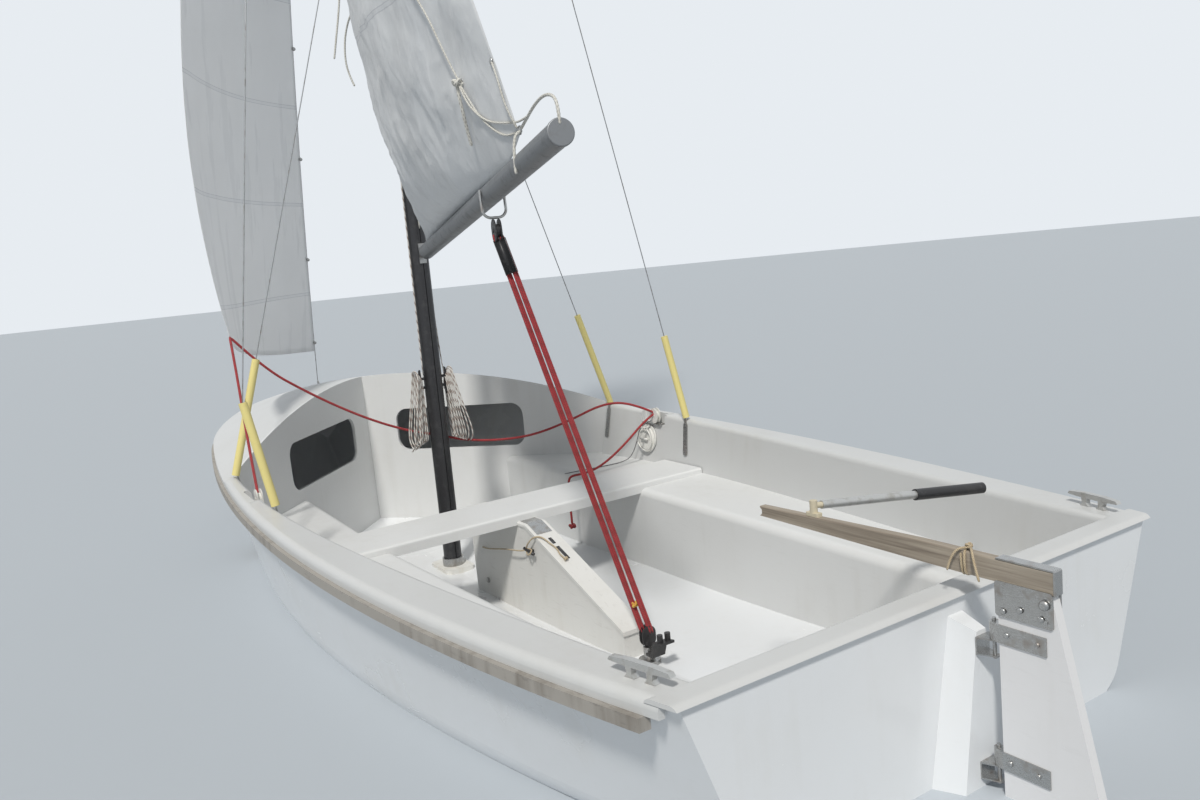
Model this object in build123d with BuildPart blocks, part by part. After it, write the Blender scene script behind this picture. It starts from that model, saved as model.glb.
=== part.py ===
from build123d import *
from math import acos, asin, atan, cos, degrees, hypot, radians, sin, sqrt, tan
import os

# Sailing dinghy, 4.3 m over the hull, in millimetres.
# +X points to the bow, +Y to port and +Z up. The origin is on the centreline at the
# floating waterline, 2.1 m ahead of the transom.

# Plan of the hull's upper edge: three tangent arcs on each side.
TRANSOM_X = -2180
WIDEST_X = -400
HALF_BEAM = 907
SIDE_RADIUS = 7580
SHOULDER_X = 1105
SHOULDER_RADIUS = 1612
NOSE_RADIUS = 275

# Sheer, the height of the gunwale, is one long arc.
SHEER_LOW = 390
SHEER_LOW_X = -1950
SHEER_RADIUS = 54800

# Laminates and the lip where the deck closes over the hull.
HULL_WALL = 12
DECK_WALL = 9
LIP_OUT = 14
LIP_DEPTH = 34
JOINT_GAP = 0.5

# Cockpit.
BENCH_TOP = 210
BENCH_EDGE_RADIUS = 28
THWART_AFT_X = -330
THWART_WIDTH = 270
THWART_TOP = 232
THWART_THICK = 40
BOW_WELL_X = 1307
SIDE_DECK_END_X = 377
BULKHEAD_WALL = 14
STERN_CAP_WIDTH = 62

# Foredeck crown.
CROWN_RADIUS = 1700

# Centreboard and its case.
SLOT_WIDTH = 28
BOARD_THICK = 18
CASE_WALL = 24
SLOT_FRONT_X = 64
SLOT_AFT_X = -950
CASE_END_WALL = 26
CASE_KNEE_X = -385
CASE_AFT_TOP = -41
CASE_LID = 13
PIVOT_X = -20
PIVOT_Z = -88
BOARD_LENGTH = 880

# Mast and standing rigging.
MAST_FOOT_X = 412
MAST_FOOT_Z = -128
MAST_LENGTH = 6180
MAST_RADIUS = 38
MAST_RAKE = 1.6
HOUNDS_Z = 5570
LOWER_HOUNDS_Z = 2940
WIRE_RADIUS = 2
TUBE_RADIUS = 14

# Boom.
GOOSENECK_Z = 1200
LUFF_OFFSET = 66
BOOM_LENGTH = 1910
BOOM_RADIUS = 30.5
BOOM_SWING = 12.95
BOOM_LIFT = 5.85
BAIL_AT = 1233

# Rudder and tiller.
PINTLE_X = -2270
BLADE_LEAD_X = -2288
BLADE_THICK = 22
TILLER_Z = 464


def write_piece(piece, name):
    """Label a finished piece and write its file."""
    piece.part.label = name
    export_step(piece.part, f"parts/{name}.step")


def sheer(x):
    """Height of the gunwale at a station."""
    return SHEER_LOW + (x - SHEER_LOW_X) ** 2 / (2 * SHEER_RADIUS)


# Angles at which the three plan arcs meet, and where the nose arc ends.
SIDE_TURN = asin((SHOULDER_X - WIDEST_X) / SIDE_RADIUS)
SHOULDER_Y = HALF_BEAM - SIDE_RADIUS * (1 - cos(SIDE_TURN))
NOSE_TURN = acos(
    (SHOULDER_RADIUS * cos(SIDE_TURN) - SHOULDER_Y) / (SHOULDER_RADIUS - NOSE_RADIUS)
)
NOSE_X = SHOULDER_X + SHOULDER_RADIUS * (sin(NOSE_TURN) - sin(SIDE_TURN))
STEM_X = NOSE_X + NOSE_RADIUS * (1 - sin(NOSE_TURN))


def half_beam(x):
    """Half the width of the hull's upper edge at a station."""
    if x <= SHOULDER_X:
        return HALF_BEAM - SIDE_RADIUS + sqrt(SIDE_RADIUS**2 - (x - WIDEST_X) ** 2)
    if x <= NOSE_X:
        run = x - SHOULDER_X + SHOULDER_RADIUS * sin(SIDE_TURN)
        return SHOULDER_Y - SHOULDER_RADIUS * cos(SIDE_TURN) + sqrt(SHOULDER_RADIUS**2 - run**2)
    return sqrt(max(NOSE_RADIUS**2 - (x - STEM_X + NOSE_RADIUS) ** 2, 1))


def plan_point(radius, centre, turn):
    """Point of a plan arc, by the angle its tangent makes with the centreline."""
    return (centre[0] + radius * sin(turn), centre[1] + radius * cos(turn))


def plan_sketch(out, stern_x, height):
    """Face inside the gunwale outline, moved out by a distance, at a height."""
    side = (WIDEST_X, HALF_BEAM - SIDE_RADIUS)
    shoulder = (
        SHOULDER_X - SHOULDER_RADIUS * sin(SIDE_TURN),
        SHOULDER_Y - SHOULDER_RADIUS * cos(SIDE_TURN),
    )
    nose = (STEM_X - NOSE_RADIUS, 0)
    stern_turn = asin((stern_x - WIDEST_X) / (SIDE_RADIUS + out))
    stops = [
        (SIDE_RADIUS + out, side, stern_turn, SIDE_TURN),
        (SHOULDER_RADIUS + out, shoulder, SIDE_TURN, NOSE_TURN),
    ]
    corner = plan_point(SIDE_RADIUS + out, side, stern_turn)
    nose_start = plan_point(NOSE_RADIUS + out, nose, NOSE_TURN)
    with BuildSketch(Plane.XY.offset(height)) as outline:
        with BuildLine():
            for hand in (1, -1):
                for radius, centre, start, end in stops:
                    turns = (start, (start + end) / 2, end)
                    points = [plan_point(radius, centre, turn) for turn in turns]
                    ThreePointArc(*[(x, hand * y) for x, y in points])
            ThreePointArc(nose_start, (STEM_X + out, 0), (nose_start[0], -nose_start[1]))
            Line((corner[0], -corner[1]), corner)
        make_face()
    return outline.sketch


def sheer_band(low, high, aft_x, fore_x):
    """Solid across the boat between two heights measured from the sheer."""
    with BuildSketch(Plane.XZ) as band:
        with BuildLine():
            middle_x = (aft_x + fore_x) / 2
            ThreePointArc(
                (aft_x, sheer(aft_x) + low),
                (middle_x, sheer(middle_x) + low),
                (fore_x, sheer(fore_x) + low),
            )
            Line((fore_x, sheer(fore_x) + low), (fore_x, sheer(fore_x) + high))
            ThreePointArc(
                (fore_x, sheer(fore_x) + high),
                (middle_x, sheer(middle_x) + high),
                (aft_x, sheer(aft_x) + high),
            )
            Line((aft_x, sheer(aft_x) + high), (aft_x, sheer(aft_x) + low))
        make_face()
    return extrude(band.sketch, amount=1200, both=True, mode=Mode.PRIVATE)


# Hull sections, from the transom to the stem. The after and the forward body meet at
# the midship station.
MIDSHIP_X = 700
# x, bilge corner as a share of the half beam, corner height, keel height, bilge radius
HULL_STATIONS = [
    (TRANSOM_X, 0.80, -5, -45, 105),
    (-1460, 0.855, -52, -105, 152),
    (-740, 0.89, -78, -147, 180),
    (-20, 0.89, -86, -165, 190),
    (MIDSHIP_X, 0.85, -66, -154, 190),
    (1250, 0.72, -5, -108, 180),
    (1650, 0.55, 92, -25, 150),
    (1900, 0.42, 190, 90, 90),
    (2040, 0.34, 300, 232, 40),
    (2098, 0.30, 400, 365, 12),
]
KEEL_RADIUS = 50
HOLLOW_RISE = 260
HOLLOW_END_X = 2040


def hull_sections(wall, top):
    """List the hull's sections, moved in by a wall, up to a height above the sheer."""
    sections = []
    for x, share, corner_z, keel_z, bilge_radius in HULL_STATIONS:
        if wall and x > HOLLOW_END_X:
            continue
        station_x = x + wall if x == TRANSOM_X else x
        beam = half_beam(x)
        edge_z = sheer(x) - DECK_WALL
        corner_y = beam * share
        bottom_angle = atan((corner_z - keel_z) / corner_y)
        side_angle = atan((beam - corner_y) / (edge_z - corner_z))
        # The two walls of a half section move in, and the corner follows where they meet.
        keel_in = keel_z + wall / cos(bottom_angle)
        side_in = corner_y - wall / cos(side_angle)
        rise = tan(bottom_angle)
        flare = tan(side_angle)
        corner_in_y = (side_in + flare * (keel_in - corner_z)) / (1 - flare * rise)
        corner_in_z = keel_in + rise * corner_in_y
        top_z = edge_z + top
        top_y = side_in + flare * (top_z - corner_z)
        corner_radius = max(bilge_radius - wall, bilge_radius / 2)
        keel_radius = KEEL_RADIUS * beam / HALF_BEAM
        with BuildSketch(Plane.YZ.offset(station_x)) as section:
            with BuildLine():
                FilletPolyline(
                    (top_y, top_z),
                    (corner_in_y, corner_in_z),
                    (0, keel_in),
                    (-corner_in_y, corner_in_z),
                    (-top_y, top_z),
                    radius=[corner_radius, keel_radius, corner_radius],
                )
                Line((-top_y, top_z), (top_y, top_z))
            make_face()
        sections.append((x, section.sketch))
    after_body = [section for x, section in sections if x <= MIDSHIP_X]
    fore_body = [section for x, section in sections if x >= MIDSHIP_X]
    return after_body, fore_body


# The space inside the hull laminate, which the inner pieces fit.
with BuildPart() as hull_space:
    for body_sections in hull_sections(HULL_WALL, HOLLOW_RISE):
        loft(body_sections)

# Hull shell with its raised transom pad and the centreboard slot.
PAD_TOP_Z = 345
PAD_THICK = 60
with BuildPart() as hull_shell:
    for body_sections in hull_sections(0, 0):
        loft(body_sections)
    add(hull_space.part, mode=Mode.SUBTRACT)
    with BuildSketch(Plane.YZ.offset(TRANSOM_X)):
        Polygon((-100, -30), (100, -30), (22, PAD_TOP_Z), (-22, PAD_TOP_Z), align=None)
    with BuildSketch(Plane.YZ.offset(TRANSOM_X - PAD_THICK)):
        Polygon((-70, -22), (70, -22), (14, PAD_TOP_Z - 18), (-14, PAD_TOP_Z - 18), align=None)
    loft()
    with BuildSketch(Plane.XY.offset(-300)):
        with Locations(((SLOT_FRONT_X + SLOT_AFT_X) / 2, 0)):
            Rectangle(SLOT_FRONT_X - SLOT_AFT_X, SLOT_WIDTH)
    extrude(amount=280, mode=Mode.SUBTRACT)
write_piece(hull_shell, "hull_shell")

# Inner edge of the side deck, the ridge above the seat backs.
# x, distance in from the hull's edge, distance in from the ridge to the seat back's foot
RIDGE_STATIONS = [
    (TRANSOM_X + 30, 84, 36),
    (-1500, 112, 22),
    (-750, 94, 22),
    (0, 52, 24),
    (SIDE_DECK_END_X, 36, 48),
]
RIDGE_RADIUS = 16
CAP_RADIUS = 20
BACK_WALL = 14
NOTCH_X = 24
NOTCH_Y = half_beam(NOTCH_X) - 60
NOTCH_LENGTH = 172
NOTCH_WIDTH = 72
NOTCH_DEPTH = 48
NOTCH_FLOOR_Z = sheer(NOTCH_X) - NOTCH_DEPTH


def side_deck_insets(x):
    """How far in the ridge and the seat back's foot lie, straight between stations."""
    for aft, fore in zip(RIDGE_STATIONS, RIDGE_STATIONS[1:]):
        if x <= fore[0]:
            share = (x - aft[0]) / (fore[0] - aft[0])
            return [a + share * (f - a) for a, f in zip(aft[1:], fore[1:])]
    return RIDGE_STATIONS[-1][1:]


def ridge_y(x):
    """Distance of the ridge from the centreline."""
    return half_beam(x) - side_deck_insets(x)[0]


def seat_back_foot_y(x):
    """Distance of the seat back's foot from the centreline."""
    return ridge_y(x) - side_deck_insets(x)[1]


def seat_back_lines(x, hand):
    """Upper edge point, downward and inward directions of a seat back at a station."""
    head = Vector(x, hand * ridge_y(x), sheer(x) - RIDGE_RADIUS)
    foot = Vector(x, hand * seat_back_foot_y(x), BENCH_TOP)
    down = (foot - head).normalized()
    face_out = down.cross(Vector(1, 0, 0)).normalized()
    if face_out.Y * hand > 0:
        face_out = face_out * -1
    return head, down, face_out


# Side deck with its seat back, made for port and mirrored to starboard.
with BuildPart() as notch_box:
    with BuildSketch(Plane.XY.offset(NOTCH_FLOOR_Z - DECK_WALL)):
        with Locations((NOTCH_X, ridge_y(NOTCH_X) + 3)):
            Rectangle(NOTCH_LENGTH + 2 * DECK_WALL, 100, align=(Align.CENTER, Align.MIN))
    extrude(amount=NOTCH_DEPTH + DECK_WALL - 2)
    add(hull_space.part, mode=Mode.INTERSECT)
with BuildPart() as side_deck_port:
    for x, ridge_in, foot_in in RIDGE_STATIONS:
        edge = half_beam(x)
        top = sheer(x)
        ridge = edge - ridge_in
        with BuildSketch(Plane.YZ.offset(x)) as deck_section:
            with BuildLine():
                Polyline(
                    (edge + JOINT_GAP, top - LIP_DEPTH),
                    (edge + LIP_OUT, top - LIP_DEPTH),
                    (edge + LIP_OUT, top - CAP_RADIUS),
                )
                RadiusArc(
                    (edge + LIP_OUT, top - CAP_RADIUS),
                    (edge + LIP_OUT - CAP_RADIUS, top),
                    -CAP_RADIUS,
                )
                Line((edge + LIP_OUT - CAP_RADIUS, top), (ridge + RIDGE_RADIUS, top))
                RadiusArc(
                    (ridge + RIDGE_RADIUS, top), (ridge, top - RIDGE_RADIUS), -RIDGE_RADIUS
                )
                Polyline(
                    (ridge, top - RIDGE_RADIUS),
                    (ridge - foot_in, BENCH_TOP),
                    (ridge - foot_in + BACK_WALL, BENCH_TOP),
                    (ridge + BACK_WALL, top - DECK_WALL),
                    (edge + JOINT_GAP, top - DECK_WALL),
                    (edge + JOINT_GAP, top - LIP_DEPTH),
                )
            make_face()
    loft()
    # The notch has its own floor and walls inside the hull.
    add(notch_box.part)
    with BuildSketch(Plane.XY.offset(NOTCH_FLOOR_Z)):
        with Locations((NOTCH_X, NOTCH_Y)):
            RectangleRounded(NOTCH_LENGTH, NOTCH_WIDTH, 12)
    extrude(amount=NOTCH_DEPTH + 30, mode=Mode.SUBTRACT)
write_piece(side_deck_port, "side_deck_port")

with BuildPart() as side_deck_starboard:
    mirror(side_deck_port.part, about=Plane.XZ, mode=Mode.ADD)
write_piece(side_deck_starboard, "side_deck_starboard")

# Stern deck: the cap over the transom, with the inner skin below it.
with BuildPart() as stern_deck:
    inner_x = TRANSOM_X + STERN_CAP_WIDTH
    with BuildSketch(Plane.XZ) as stern_profile:
        with BuildLine():
            top = sheer(TRANSOM_X)
            Polyline(
                (TRANSOM_X - JOINT_GAP, top - LIP_DEPTH),
                (TRANSOM_X - LIP_OUT, top - LIP_DEPTH),
                (TRANSOM_X - LIP_OUT, top - CAP_RADIUS),
            )
            RadiusArc(
                (TRANSOM_X - LIP_OUT, top - CAP_RADIUS),
                (TRANSOM_X - LIP_OUT + CAP_RADIUS, top),
                CAP_RADIUS,
            )
            Line((TRANSOM_X - LIP_OUT + CAP_RADIUS, top), (inner_x - RIDGE_RADIUS, top))
            RadiusArc(
                (inner_x - RIDGE_RADIUS, top), (inner_x, top - RIDGE_RADIUS), RIDGE_RADIUS
            )
            Polyline(
                (inner_x, top - RIDGE_RADIUS),
                (inner_x + 8, -200),
                (TRANSOM_X + HULL_WALL + JOINT_GAP, -200),
                (TRANSOM_X + HULL_WALL + JOINT_GAP, top - DECK_WALL),
                (TRANSOM_X - JOINT_GAP, top - DECK_WALL),
                (TRANSOM_X - JOINT_GAP, top - LIP_DEPTH),
            )
        make_face()
    extrude(amount=HALF_BEAM, both=True)
    extrude(plan_sketch(LIP_OUT, TRANSOM_X - 2 * LIP_OUT, -400), amount=1000, mode=Mode.INTERSECT)
    # Below the cap the skin stays inside the hull.
    with BuildSketch(Plane.XY.offset(-400)) as below_cap:
        with Locations((TRANSOM_X, 0)):
            Rectangle(800, 2400)
    extrude(amount=400 + sheer(TRANSOM_X) - DECK_WALL, mode=Mode.SUBTRACT)
with BuildPart() as stern_skin:
    with BuildSketch(Plane.XY.offset(-200)):
        with Locations((TRANSOM_X + HULL_WALL + JOINT_GAP, 0)):
            Rectangle(STERN_CAP_WIDTH - HULL_WALL, 2400, align=(Align.MIN, Align.CENTER))
    extrude(amount=200 + sheer(TRANSOM_X) - DECK_WALL)
    add(hull_space.part, mode=Mode.INTERSECT)
with BuildPart() as stern_moulding:
    add(stern_deck.part)
    add(stern_skin.part)
    add(side_deck_port.part, mode=Mode.SUBTRACT)
    add(side_deck_starboard.part, mode=Mode.SUBTRACT)
write_piece(stern_moulding, "stern_deck")

# Crowned foredeck round the V-shaped well.
# x, height of the crown's ridge
CROWN_STATIONS = [(SIDE_DECK_END_X - 120, 668), (900, 664), (1500, 626), (2160, 530)]
CROWN_HALF_WIDTH = 1000


def crown_body(drop):
    """Solid below the foredeck's surface, lowered by a distance."""
    sections = []
    for x, ridge_z in CROWN_STATIONS:
        edge_drop = CROWN_RADIUS - sqrt(CROWN_RADIUS**2 - CROWN_HALF_WIDTH**2)
        top = ridge_z - drop
        with BuildSketch(Plane.YZ.offset(x)) as section:
            with BuildLine():
                ThreePointArc(
                    (-CROWN_HALF_WIDTH, top - edge_drop),
                    (0, top),
                    (CROWN_HALF_WIDTH, top - edge_drop),
                )
                Polyline(
                    (CROWN_HALF_WIDTH, top - edge_drop),
                    (CROWN_HALF_WIDTH, -300),
                    (-CROWN_HALF_WIDTH, -300),
                    (-CROWN_HALF_WIDTH, top - edge_drop),
                )
            make_face()
        sections.append(section.sketch)
    return loft(sections, mode=Mode.PRIVATE)


# Plan of the well's forward end: a V from the side decks to its point.
WELL_SIDE_Y = half_beam(SIDE_DECK_END_X) - RIDGE_STATIONS[-1][1]


def well_sketch(grow, height):
    """The well's V in plan, grown outward by a distance."""
    slope = atan(WELL_SIDE_Y / (BOW_WELL_X - SIDE_DECK_END_X))
    point_x = BOW_WELL_X + grow / sin(slope)
    side_y = (point_x - SIDE_DECK_END_X) * tan(slope)
    with BuildSketch(Plane.XY.offset(height)) as well:
        Polygon(
            (SIDE_DECK_END_X, side_y),
            (SIDE_DECK_END_X, -side_y),
            (point_x, 0),
            align=None,
        )
    return well.sketch


def fore_plan(out, height):
    """The gunwale outline ahead of the side decks."""
    with BuildSketch(Plane.XY.offset(height)) as plan:
        add(plan_sketch(out, TRANSOM_X, 0))
        with Locations((SIDE_DECK_END_X, 0)):
            Rectangle(5000, 2400, align=(Align.MAX, Align.CENTER), mode=Mode.SUBTRACT)
    return plan.sketch


# The underside follows the crown, and the lip hangs outside the hull.
with BuildPart() as below_deck:
    extrude(fore_plan(JOINT_GAP, 200), amount=600)
    add(crown_body(DECK_WALL), mode=Mode.INTERSECT)
with BuildPart() as foredeck:
    extrude(fore_plan(LIP_OUT, 300), amount=500)
    add(crown_body(0), mode=Mode.INTERSECT)
    add(below_deck.part, mode=Mode.SUBTRACT)
    add(hull_shell.part, mode=Mode.SUBTRACT)
    extrude(well_sketch(BULKHEAD_WALL, 200), amount=600, mode=Mode.SUBTRACT)
    add(sheer_band(-400, -LIP_DEPTH, SIDE_DECK_END_X - 50, STEM_X + 50), mode=Mode.SUBTRACT)
write_piece(foredeck, "foredeck")

# Bow bulkhead: two upright panels that meet at the point of the V, with a locker
# opening in each.
LOCKER_FROM_POINT = 495
LOCKER_WIDTH = 670
LOCKER_HEIGHT = 206
LOCKER_Z = 366
LOCKER_RADIUS = 58
panel_angle = degrees(atan(WELL_SIDE_Y / (BOW_WELL_X - SIDE_DECK_END_X)))
with BuildPart() as bow_bulkhead:
    extrude(well_sketch(BULKHEAD_WALL, -250), amount=950)
    extrude(well_sketch(0, -250), amount=950, mode=Mode.SUBTRACT)
    add(hull_space.part, mode=Mode.INTERSECT)
    add(crown_body(0), mode=Mode.INTERSECT)
    for hand in (1, -1):
        along = Vector(-cos(radians(panel_angle)), hand * sin(radians(panel_angle)), 0)
        centre = Vector(BOW_WELL_X, 0, LOCKER_Z) + along * LOCKER_FROM_POINT
        panel_plane = Plane(origin=centre, x_dir=along, z_dir=along.cross(Vector(0, 0, 1)))
        with BuildSketch(panel_plane) as locker_opening:
            RectangleRounded(LOCKER_WIDTH, LOCKER_HEIGHT, LOCKER_RADIUS)
        extrude(amount=60, both=True, mode=Mode.SUBTRACT)
write_piece(bow_bulkhead, "bow_bulkhead")

# Side benches, closed tanks from the hull up to the seat.
# x, distance of the bench's inner edge from the centreline
BENCH_EDGE = [(TRANSOM_X + STERN_CAP_WIDTH + 9, 438), (THWART_AFT_X, 505), (790, 480)]
THWART_UNDER = THWART_TOP - THWART_THICK
with BuildPart() as bench_port:
    with BuildSketch(Plane.XY.offset(-250)):
        Polygon(
            *BENCH_EDGE,
            (BENCH_EDGE[-1][0], HALF_BEAM),
            (BENCH_EDGE[0][0], HALF_BEAM),
            align=None,
        )
    extrude(amount=250 + BENCH_TOP)
    bench_face = bench_port.faces().sort_by(Axis.Z)[-1]
    fillet(bench_face.edges().sort_by(Axis.Y)[:2], BENCH_EDGE_RADIUS)
    add(hull_space.part, mode=Mode.INTERSECT)
    # Ahead of the side decks the bench ends at the bow bulkhead.
    with BuildSketch(Plane.XY.offset(-300)):
        with Locations((SIDE_DECK_END_X, 0)):
            Rectangle(1000, 2400, align=(Align.MIN, Align.CENTER))
        add(well_sketch(-JOINT_GAP, 0), mode=Mode.SUBTRACT)
    extrude(amount=700, mode=Mode.SUBTRACT)
    # The thwart is let into the bench.
    with BuildSketch(Plane.XY.offset(THWART_UNDER)):
        with Locations((THWART_AFT_X, 0)):
            Rectangle(THWART_WIDTH, 2400, align=(Align.MIN, Align.CENTER))
    extrude(amount=100, mode=Mode.SUBTRACT)
write_piece(bench_port, "bench_port")

with BuildPart() as bench_starboard:
    mirror(bench_port.part, about=Plane.XZ, mode=Mode.ADD)
write_piece(bench_starboard, "bench_starboard")

# Thwart from seat back to seat back.
THWART_EDGE_RADIUS = 9
with BuildPart() as thwart:
    thwart_fore_x = THWART_AFT_X + THWART_WIDTH
    aft_y = seat_back_foot_y(THWART_AFT_X) - JOINT_GAP
    fore_y = seat_back_foot_y(thwart_fore_x) - JOINT_GAP
    with BuildSketch(Plane.XY.offset(THWART_UNDER)):
        Polygon(
            (THWART_AFT_X, aft_y),
            (THWART_AFT_X, -aft_y),
            (thwart_fore_x, -fore_y),
            (thwart_fore_x, fore_y),
            align=None,
        )
    extrude(amount=THWART_THICK)
    long_edges = thwart.edges().filter_by(Axis.Y)
    fillet(long_edges.group_by(Axis.Z)[-1], THWART_EDGE_RADIUS)
write_piece(thwart, "thwart")

# Centreboard case: two sides, end posts and the lid that slopes down aft.
CASE_HALF_WIDTH = SLOT_WIDTH / 2 + CASE_WALL
CASE_FRONT_X = SLOT_FRONT_X + CASE_END_WALL
CASE_AFT_X = SLOT_AFT_X - CASE_END_WALL
PIVOT_BOLT_RADIUS = 6
case_outline = [
    (CASE_FRONT_X, -220),
    (CASE_FRONT_X, THWART_UNDER),
    (CASE_KNEE_X, THWART_UNDER),
    (CASE_AFT_X, CASE_AFT_TOP),
    (CASE_AFT_X, -220),
]
with BuildPart() as case_side_port:
    with BuildSketch(Plane.XZ.offset(-SLOT_WIDTH / 2)):
        Polygon(*case_outline, align=None)
        with Locations((PIVOT_X, PIVOT_Z)):
            Circle(PIVOT_BOLT_RADIUS + 0.2, mode=Mode.SUBTRACT)
    extrude(amount=-CASE_WALL)
    add(hull_space.part, mode=Mode.INTERSECT)
write_piece(case_side_port, "case_side_port")

with BuildPart() as case_side_starboard:
    mirror(case_side_port.part, about=Plane.XZ, mode=Mode.ADD)
write_piece(case_side_starboard, "case_side_starboard")

with BuildPart() as case_end_posts:
    with BuildSketch(Plane.XZ.offset(-SLOT_WIDTH / 2)):
        Polygon(*case_outline, align=None)
        with Locations(((SLOT_FRONT_X + SLOT_AFT_X) / 2, 0)):
            Rectangle(SLOT_FRONT_X - SLOT_AFT_X, 900, mode=Mode.SUBTRACT)
    extrude(amount=SLOT_WIDTH)
    add(hull_space.part, mode=Mode.INTERSECT)
write_piece(case_end_posts, "case_end_posts")

case_slope = atan((THWART_UNDER - CASE_AFT_TOP) / (CASE_KNEE_X - CASE_AFT_X))
lid_rise = CASE_LID / cos(case_slope)
with BuildPart() as case_lid:
    with BuildSketch(Plane.XZ):
        Polygon(
            (THWART_AFT_X - JOINT_GAP, THWART_UNDER),
            (THWART_AFT_X - JOINT_GAP, THWART_UNDER + CASE_LID),
            (CASE_KNEE_X - CASE_LID * tan(case_slope / 2), THWART_UNDER + CASE_LID),
            (CASE_AFT_X - 6, CASE_AFT_TOP + lid_rise - 6 * tan(case_slope)),
            (CASE_AFT_X - 6, CASE_AFT_TOP - 6 * tan(case_slope)),
            (CASE_KNEE_X, THWART_UNDER),
            align=None,
        )
    extrude(amount=CASE_HALF_WIDTH + 4, both=True)
    lid_edges = case_lid.edges().group_by(Axis.Y)
    fillet(lid_edges[0].sort_by(Axis.Z)[-2:] + lid_edges[-1].sort_by(Axis.Z)[-2:], 6)
write_piece(case_lid, "case_lid")

# Blank stainless plate bent over the lid's knee.
PLATE_THICK = 2
PLATE_HALF_WIDTH = 30
PLATE_RUN = 74
with BuildPart() as case_plate:
    lid_top = THWART_UNDER + CASE_LID
    knee_x = CASE_KNEE_X - CASE_LID * tan(case_slope / 2)
    end_x = knee_x - PLATE_RUN * cos(case_slope)
    end_z = lid_top - PLATE_RUN * sin(case_slope)
    lift_x = PLATE_THICK * sin(case_slope)
    lift_z = PLATE_THICK * cos(case_slope)
    with BuildSketch(Plane.XZ):
        Polygon(
            (THWART_AFT_X - 6, lid_top),
            (THWART_AFT_X - 6, lid_top + PLATE_THICK),
            (knee_x - PLATE_THICK * tan(case_slope / 2), lid_top + PLATE_THICK),
            (end_x - lift_x, end_z + lift_z),
            (end_x, end_z),
            (knee_x, lid_top),
            align=None,
        )
    extrude(amount=PLATE_HALF_WIDTH, both=True)
write_piece(case_plate, "case_plate")

# Centreboard, lowered, turning aft and up into the case.
BOARD_HEAD_RADIUS = 76
BOARD_LEAD = 70
with BuildPart() as centreboard:
    with BuildSketch(Plane(origin=(PIVOT_X, 0, PIVOT_Z), x_dir=(1, 0, 0), z_dir=(0, -1, 0))):
        with BuildLine():
            lead_z = sqrt(BOARD_HEAD_RADIUS**2 - BOARD_LEAD**2)
            head_turn = radians(45)
            head_middle = (BOARD_HEAD_RADIUS * cos(head_turn), BOARD_HEAD_RADIUS * sin(head_turn))
            ThreePointArc((BOARD_LEAD, lead_z), head_middle, (0, BOARD_HEAD_RADIUS))
            Polyline(
                (0, BOARD_HEAD_RADIUS),
                (-150, BOARD_HEAD_RADIUS),
                (-200, 30),
                (-200, -200),
                (-65, -BOARD_LENGTH),
                (0, -BOARD_LENGTH),
            )
            ThreePointArc(
                (0, -BOARD_LENGTH), (50, 40 - BOARD_LENGTH), (BOARD_LEAD, 110 - BOARD_LENGTH)
            )
            Line((BOARD_LEAD, 110 - BOARD_LENGTH), (BOARD_LEAD, lead_z))
        make_face()
        Circle(PIVOT_BOLT_RADIUS + 0.4, mode=Mode.SUBTRACT)
    extrude(amount=BOARD_THICK / 2, both=True)
write_piece(centreboard, "centreboard")

with BuildPart() as pivot_bolt:
    with BuildSketch(Plane.XZ):
        with Locations((PIVOT_X, PIVOT_Z)):
            Circle(PIVOT_BOLT_RADIUS)
    extrude(amount=CASE_HALF_WIDTH, both=True)
    for hand in (1, -1):
        with BuildSketch(Plane.XZ.offset(hand * CASE_HALF_WIDTH)):
            with Locations((PIVOT_X, PIVOT_Z)):
                RegularPolygon(11, 6)
        extrude(amount=hand * 7)
write_piece(pivot_bolt, "pivot_bolt")

# Rubbing strakes round the gunwale, just below the deck's lip.
STRAKE_OUT = 26
STRAKE_HEIGHT = 27
STRAKE_END_X = TRANSOM_X + 62
STRAKE_TOP = -LIP_DEPTH - 0.4
with BuildPart() as strake_ring:
    extrude(plan_sketch(STRAKE_OUT, TRANSOM_X, 200), amount=600)
    extrude(plan_sketch(JOINT_GAP + 1, TRANSOM_X - 200, 200), amount=600, mode=Mode.SUBTRACT)
    add(
        sheer_band(STRAKE_TOP - STRAKE_HEIGHT, STRAKE_TOP, STRAKE_END_X, STEM_X + 100),
        mode=Mode.INTERSECT,
    )
for hand, name in ((1, "port"), (-1, "starboard")):
    with BuildPart() as strake:
        add(strake_ring.part)
        with BuildSketch(Plane.XZ):
            Rectangle(6000, 2000)
        extrude(amount=hand * 2000, mode=Mode.SUBTRACT)
    write_piece(strake, f"rubbing_strake_{name}")

# Mast, raked aft, with the groove for the sail's luff.
mast_angle = radians(MAST_RAKE)
mast_up = Vector(-sin(mast_angle), 0, cos(mast_angle))
mast_plane = Plane(origin=(MAST_FOOT_X, 0, MAST_FOOT_Z), x_dir=(0, 1, 0), z_dir=mast_up)


def mast_point(z, aft=0, out=0):
    """Point beside the mast's axis at a height, aft of it or out to one side."""
    rise = (z - MAST_FOOT_Z) * tan(mast_angle)
    return Vector(MAST_FOOT_X - rise - aft, out, z)


with BuildPart() as mast:
    with BuildSketch(mast_plane):
        Circle(MAST_RADIUS)
        with Locations((0, MAST_RADIUS - 6)):
            Circle(5, mode=Mode.SUBTRACT)
        with Locations((0, MAST_RADIUS)):
            Rectangle(3, 14, mode=Mode.SUBTRACT)
    extrude(amount=MAST_LENGTH)
write_piece(mast, "mast")

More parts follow.
